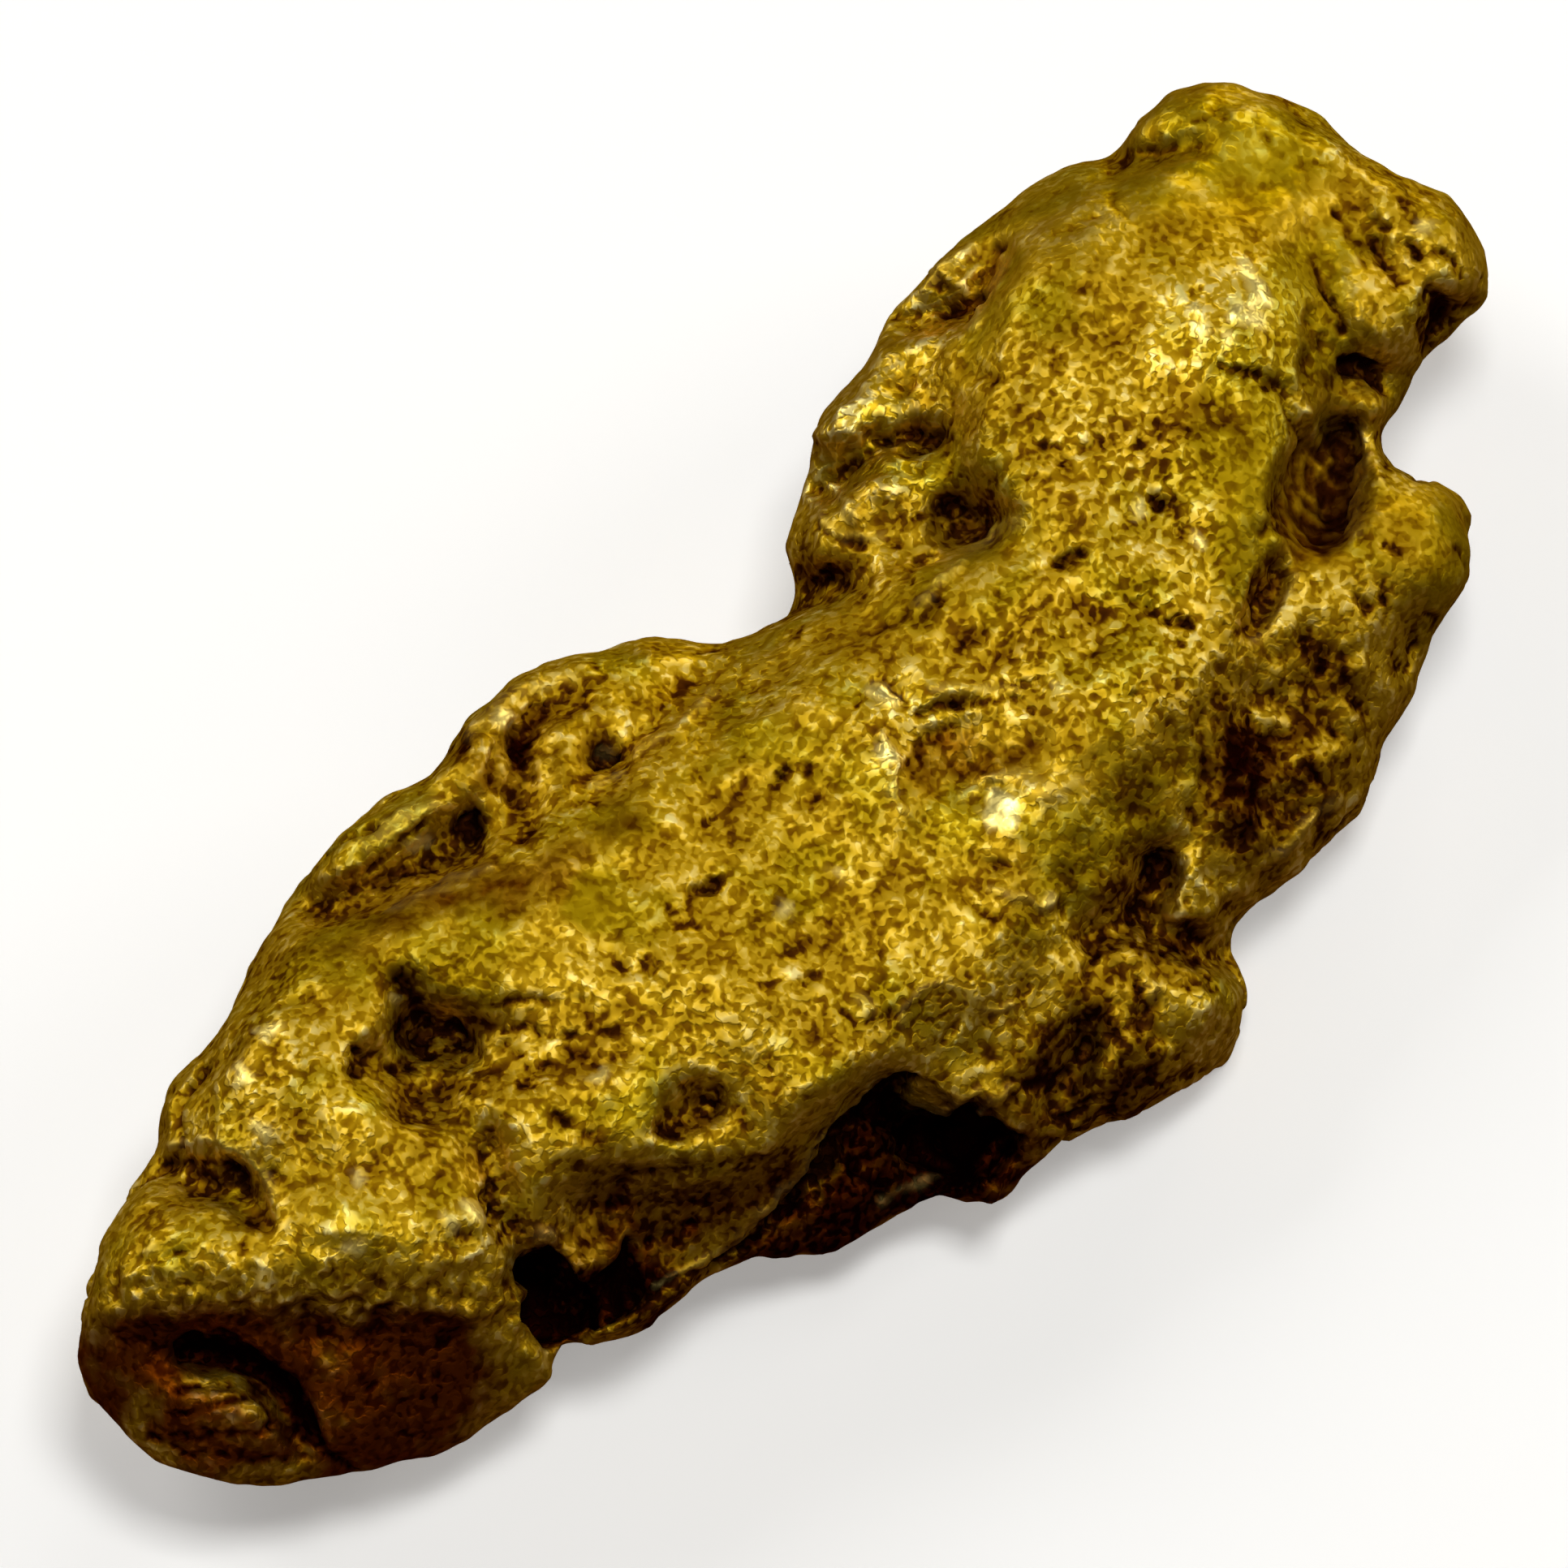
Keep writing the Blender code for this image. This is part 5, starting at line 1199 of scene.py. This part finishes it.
def add_node(tree, kind, settings=None, **inputs):
    """Adds a node, with its settings, and its inputs as values or as sockets to link from."""
    node = tree.nodes.new(kind)
    for name, value in (settings or {}).items():
        setattr(node, name, value)
    for name, value in inputs.items():
        key = int(name[1:]) if name[0] == "_" else name.replace("_", " ")
        if isinstance(value, bpy.types.NodeSocket):
            tree.links.new(value, node.inputs[key])
        else:
            node.inputs[key].default_value = value
    return node


print("old gold, linear:", [round(part, 3) for part in linear("#BE9816")])

# %% [markdown]
# ### Patterns in the gold
#
# The curly grain is about a tenth of a millimetre wide. Clumps of grain and a few brighter flakes
# lie over it. Dark pockets between the clumps and greener patches are larger and softer. Little
# distortion keeps the grains crooked, and more would draw them out into fibres.


# %% Noise and stored values as sources
class Pattern(NamedTuple):
    period: float  # millimetres from one grain to the next
    detail: float
    roughness: float = 0.5
    distortion: float = 0.0


PATTERNS = {
    "grain noise": Pattern(0.082, detail=0.6, distortion=0.3),
    "clump noise": Pattern(0.17, detail=1.0, distortion=0.3),
    "flake noise": Pattern(0.12, detail=0.3, distortion=0.3),
    "pocket noise": Pattern(0.7, detail=3.0, roughness=0.7),
    "patch noise": Pattern(0.9, detail=2.0),
}


def read_sources(tree):
    """The patterns of noise, and the values stored on the points, by name."""
    sources = {}
    place = add_node(tree, "ShaderNodeTexCoord").outputs["Object"]
    for name, pattern in PATTERNS.items():
        node = add_node(
            tree,
            "ShaderNodeTexNoise",
            Vector=place,
            Scale=1 / (pattern.period * MM),
            Detail=pattern.detail,
            Roughness=pattern.roughness,
            Distortion=pattern.distortion,
        )
        sources[name] = node.outputs["Fac"]
    for name in STORED:
        node = add_node(tree, "ShaderNodeAttribute", {"attribute_name": name})
        sources[name] = node.outputs["Fac"]
    return sources


print("patterns:", ", ".join(PATTERNS))

# %% [markdown]
# ### How light or dark the skin is
#
# One number, the tone, says how light the gold is: low in the dirt of the deepest gaps and in
# the painted shade of caves and shaded faces, high on the tops that stones rubbed bright and on
# the stretches painted lighter as painted light. It is a sum of layers, and each layer turns one
# source into an amount. Cutting the grain noise near its middle gives crooked grains with clear
# borders, where plain noise would give a soft blur. The rough ground has deeper pockets, and the
# grain is louder where dirt and painted shade set it off.


# %% The layers of the tone
class Layer(NamedTuple):
    """One source, and what it adds as it goes from 0 to 1, or over a cut with soft edges."""

    source: str
    first: float
    second: float
    cut: tuple = ()


GRAIN = [
    Layer("grain noise", -0.135, 0.135, cut=(0.40, 0.58)),
    Layer("clump noise", -0.275, 0.275),
    Layer("flake noise", 0.0, 0.12, cut=(0.55, 0.63)),
]
LOUDNESS = [
    Layer("grainy", 0.0, 1.0),
    Layer("dirt_and_shade", 0.0, 0.3),
]
POCKETS = [Layer("pocket noise", -0.5, 0.5)]
POCKET_DEPTH = [Layer("rough", 0.75, 1.55)]
MIDDLE_TONE = 0.54
TONE = [
    Layer("grain", 0.0, 1.0),
    Layer("pockets", 0.0, 1.0),
    Layer("rough", 0.0, -0.06),
    Layer("proud", -0.10, 0.10),
    # darker for dirt, and for painted shade in caves and on faces turned from the lamps
    Layer("dirt_and_shade", 0.0, -0.40),
    # lighter for rubbed wear, and for painted light where the lamps fall
    Layer("rubbed_and_lit", 0.0, 0.10),
]
print("layers of the tone:", ", ".join(layer.source for layer in TONE))


# %% Sums of layers
def add_up(tree, sources, layers, start=0.0):
    """A socket with the sum of what the layers give."""
    total = start
    for layer in layers:
        low, high = layer.cut or (0.0, 1.0)
        amount = add_node(
            tree,
            "ShaderNodeMapRange",
            {"interpolation_type": "SMOOTHSTEP"} if layer.cut else {"clamp": False},
            Value=sources[layer.source],
            From_Min=low,
            From_Max=high,
            To_Min=layer.first,
            To_Max=layer.second,
        ).outputs["Result"]
        total = add_node(tree, "ShaderNodeMath", _0=total, _1=amount).outputs[0]
    return total


def work_out_tone(tree, sources):
    """Adds the grain times its loudness, the pockets times their depth, and the tone."""
    for name, layers, strength in [
        ("grain", GRAIN, LOUDNESS),
        ("pockets", POCKETS, POCKET_DEPTH),
    ]:
        plain = add_up(tree, sources, layers)
        times = add_up(tree, sources, strength)
        product = add_node(tree, "ShaderNodeMath", {"operation": "MULTIPLY"}, _0=plain, _1=times)
        sources[name] = product.outputs[0]
    sources["tone"] = add_up(tree, sources, TONE, MIDDLE_TONE)


print("layers of the grain:", ", ".join(layer.source for layer in GRAIN))

# %% [markdown]
# ### Colour
#
# The tone picks the gold's colour from a scale, from brown to pale yellow. Three coats change
# it. Some patches are greener, where no film covers them. A reddish film reddens the faces that
# look down and the pockets, and it gathers where dirt and painted shade do: it is partly iron
# stain and partly painted shade. Glints are painted pale, as painted highlights.

# %% A scale of tones, and three coats
# the dark end of the scale also serves as painted shade, and the pale end as painted light
TONES = [  # from the dirt in the deepest gaps up to the tops that stones rubbed bright
    (0.00, "#301404"),
    (0.20, "#582E06"),
    (0.34, "#865A06"),
    (0.46, "#A67E08"),
    (0.58, "#BE9816"),
    (0.70, "#D2AB24"),
    (0.84, "#ECCB58"),
    (1.00, "#FFEB94"),
]


class Coat(NamedTuple):
    """A tint, how it lies on the gold, and the layers that say where, cut with soft edges."""

    tint: str
    blend: str
    cut: tuple
    layers: list


GREENER = Coat(
    tint="#E0E6A0",
    blend="MULTIPLY",
    cut=(0.46, 0.70),
    layers=[
        Layer("patch noise", 0.0, 1.0),
        Layer("olive", 0.0, 0.25),
        Layer("film", 0.0, -0.35),
    ],
)
# partly iron stain, partly painted shade on the faces that look down
IRON_FILM_AND_SHADE = Coat(
    tint="#8E5430",
    blend="MULTIPLY",
    cut=(0.0, 1.3),
    layers=[
        Layer("film", 0.0, 1.0),
        Layer("pocket noise", 1.1, -1.1),
        Layer("dirt_and_shade", 0.0, 0.5),
    ],
)
# painted highlight: the glints are mixed towards a pale yellow
PAINTED_GLINT_COAT = Coat(tint="#FFE988", blend="MIX", cut=(), layers=[Layer("glint", 0.0, 1.0)])
COATS = [GREENER, IRON_FILM_AND_SHADE, PAINTED_GLINT_COAT]
print("the scale goes from", TONES[0][1], "to", TONES[-1][1])


# %% The colour of the gold
def gold_colour(tree, sources):
    scale = add_node(tree, "ShaderNodeValToRGB", Fac=sources["tone"])
    steps = scale.color_ramp.elements
    while len(steps) < len(TONES):
        steps.new(1.0)
    for step, (position, tone) in zip(steps, TONES):
        step.position = position
        step.color = linear(tone)
    colour = scale.outputs["Color"]
    for coat in COATS:
        sources["coat"] = add_up(tree, sources, coat.layers)
        colour = add_node(
            tree,
            "ShaderNodeMix",
            {"data_type": "RGBA", "blend_type": coat.blend},
            Factor=add_up(tree, sources, [Layer("coat", 0.0, 1.0, coat.cut)]),
            _6=colour,
            _7=linear(coat.tint),
        ).outputs[2]
    return colour


print("tints of the coats:", ", ".join(coat.tint for coat in COATS))

# %% [markdown]
# ### Shine and relief
#
# Rubbed tops are a little shinier than the gaps, and glints are shinier still. The grain that
# shades the tone can be felt too. It is too fine for the net to carry, so it is a bump of a few
# hundredths of a millimetre. Glints are flat, so their bump is weak. A metal seen edge-on turns
# white unless its edges get a tint, and gold stays yellow there.

# %% Water-worn native gold
MATT = [
    Layer("tone", 0.66, 0.54, cut=(0.40, 0.75)),
    Layer("rubbed_and_lit", 0.0, -0.06),
    Layer("glint", 0.0, -0.16),
]
FLATTENED = [Layer("glint", 1.0, 0.2)]
BUMP_HEIGHT = 0.03  # mm
BUMP_STRENGTH = 0.6
EDGE_TINT = "#E8B848"


def native_gold():
    material = bpy.data.materials.new("water_worn_native_gold")
    material.use_nodes = True
    tree = material.node_tree
    sources = read_sources(tree)
    work_out_tone(tree, sources)
    height = add_node(
        tree,
        "ShaderNodeMath",
        {"operation": "MULTIPLY"},
        _0=sources["grain"],
        _1=add_up(tree, sources, FLATTENED),
    ).outputs[0]
    relief = add_node(
        tree,
        "ShaderNodeBump",
        Height=height,
        Strength=BUMP_STRENGTH,
        Distance=BUMP_HEIGHT * MM,
    )
    shader = tree.nodes["Principled BSDF"]
    tree.links.new(gold_colour(tree, sources), shader.inputs["Base Color"])
    tree.links.new(add_up(tree, sources, MATT), shader.inputs["Roughness"])
    tree.links.new(relief.outputs["Normal"], shader.inputs["Normal"])
    shader.inputs["Metallic"].default_value = 1.0
    shader.inputs["Specular Tint"].default_value = linear(EDGE_TINT)
    return material


skin.data.materials.clear()
skin.data.materials.append(native_gold())
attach(skin, "root")
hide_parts("gold_nugget")
print("material:", skin.data.materials[0].name)

# %% [markdown]
# ## The studio
#
# The floor is a pale matt sheet. It isn't mirrored in the metal, because a pale sheet right under
# the nugget would light its caves from below.

# %% The floor
FLOOR_SIZE = 8.0  # metres
PALE = "#F4F4F2"
PAPER_ROUGHNESS = 0.9
FLOOR_GLOW = 0.36  # lifts the shadow on the paper


def add_floor():
    bpy.ops.mesh.primitive_plane_add(size=FLOOR_SIZE, location=(0, 0, 0))
    floor = bpy.context.object
    floor.name = "floor"
    matt = bpy.data.materials.new("pale_matt_paper")
    matt.use_nodes = True
    shader = matt.node_tree.nodes["Principled BSDF"]
    shader.inputs["Base Color"].default_value = linear(PALE)
    shader.inputs["Roughness"].default_value = PAPER_ROUGHNESS
    shader.inputs["Emission Color"].default_value = linear(PALE)
    shader.inputs["Emission Strength"].default_value = FLOOR_GLOW
    floor.data.materials.append(matt)
    floor.visible_glossy = False
    return floor


floor = add_floor()
print("floor:", FLOOR_SIZE, "m wide")

# %% [markdown]
# Four large soft lamps hang overhead, to the right, to the left and at the back, so that the broad
# face shines and the near flank falls into shade. A weak one low in front opens that shade a
# little. Each lamp looks at the middle of the picture.


# %% Lamps
class Lamp(NamedTuple):
    """A square soft lamp, placed along the picture's own directions, in mm and watts."""

    name: str
    rightwards: float
    upwards: float
    outwards: float
    size: float
    power: float


LAMPS = [
    Lamp("overhead lamp", 40, 140, 260, 110, 0.39),
    Lamp("right lamp", 256, 148, 52, 120, 0.21),
    Lamp("left lamp", -210, 210, 52, 140, 0.32),
    Lamp("back lamp", 90, 276, -78, 120, 0.22),
    Lamp("low front lamp", -60, -230, 150, 160, 0.08),
]


def add_lamp(lamp):
    light = bpy.data.lights.new(lamp.name, "AREA")
    light.size = lamp.size * MM
    light.energy = lamp.power
    thing = new_object(lamp.name, light)
    place = RIGHT * lamp.rightwards + UP * lamp.upwards + OUT * lamp.outwards
    thing.location = (PLANE_ORIGIN + place) * MM
    thing.rotation_euler = place.to_track_quat("Z", "Y").to_euler()
    thing.visible_camera = False


for lamp in LAMPS:
    add_lamp(lamp)
print("lamps:", ", ".join(lamp.name for lamp in LAMPS))

# %% [markdown]
# The room is dark overhead, which keeps the gaps of the grain deep, and dimly lit from below, as by
# the table round the sheet.

# %% The room
WARM = "#FFC890"
ROOM_ABOVE = 0.03
ROOM_BELOW = 0.10
HORIZON = 0.1  # half the height of the band in which one passes into the other


def add_room():
    world = bpy.data.worlds.new("room")
    bpy.context.scene.world = world
    world.use_nodes = True
    tree = world.node_tree
    direction = add_node(tree, "ShaderNodeTexCoord").outputs["Generated"]
    height = add_node(tree, "ShaderNodeSeparateXYZ", Vector=direction).outputs["Z"]
    glow = add_node(
        tree,
        "ShaderNodeMapRange",
        Value=height,
        From_Min=HORIZON,
        From_Max=-HORIZON,
        To_Min=ROOM_ABOVE,
        To_Max=ROOM_BELOW,
    ).outputs["Result"]
    background = tree.nodes["Background"]
    tree.links.new(glow, background.inputs["Strength"])
    background.inputs["Color"].default_value = linear(WARM)


add_room()
bpy.context.scene.view_settings.view_transform = "Standard"
print("room:", bpy.context.scene.world.name)
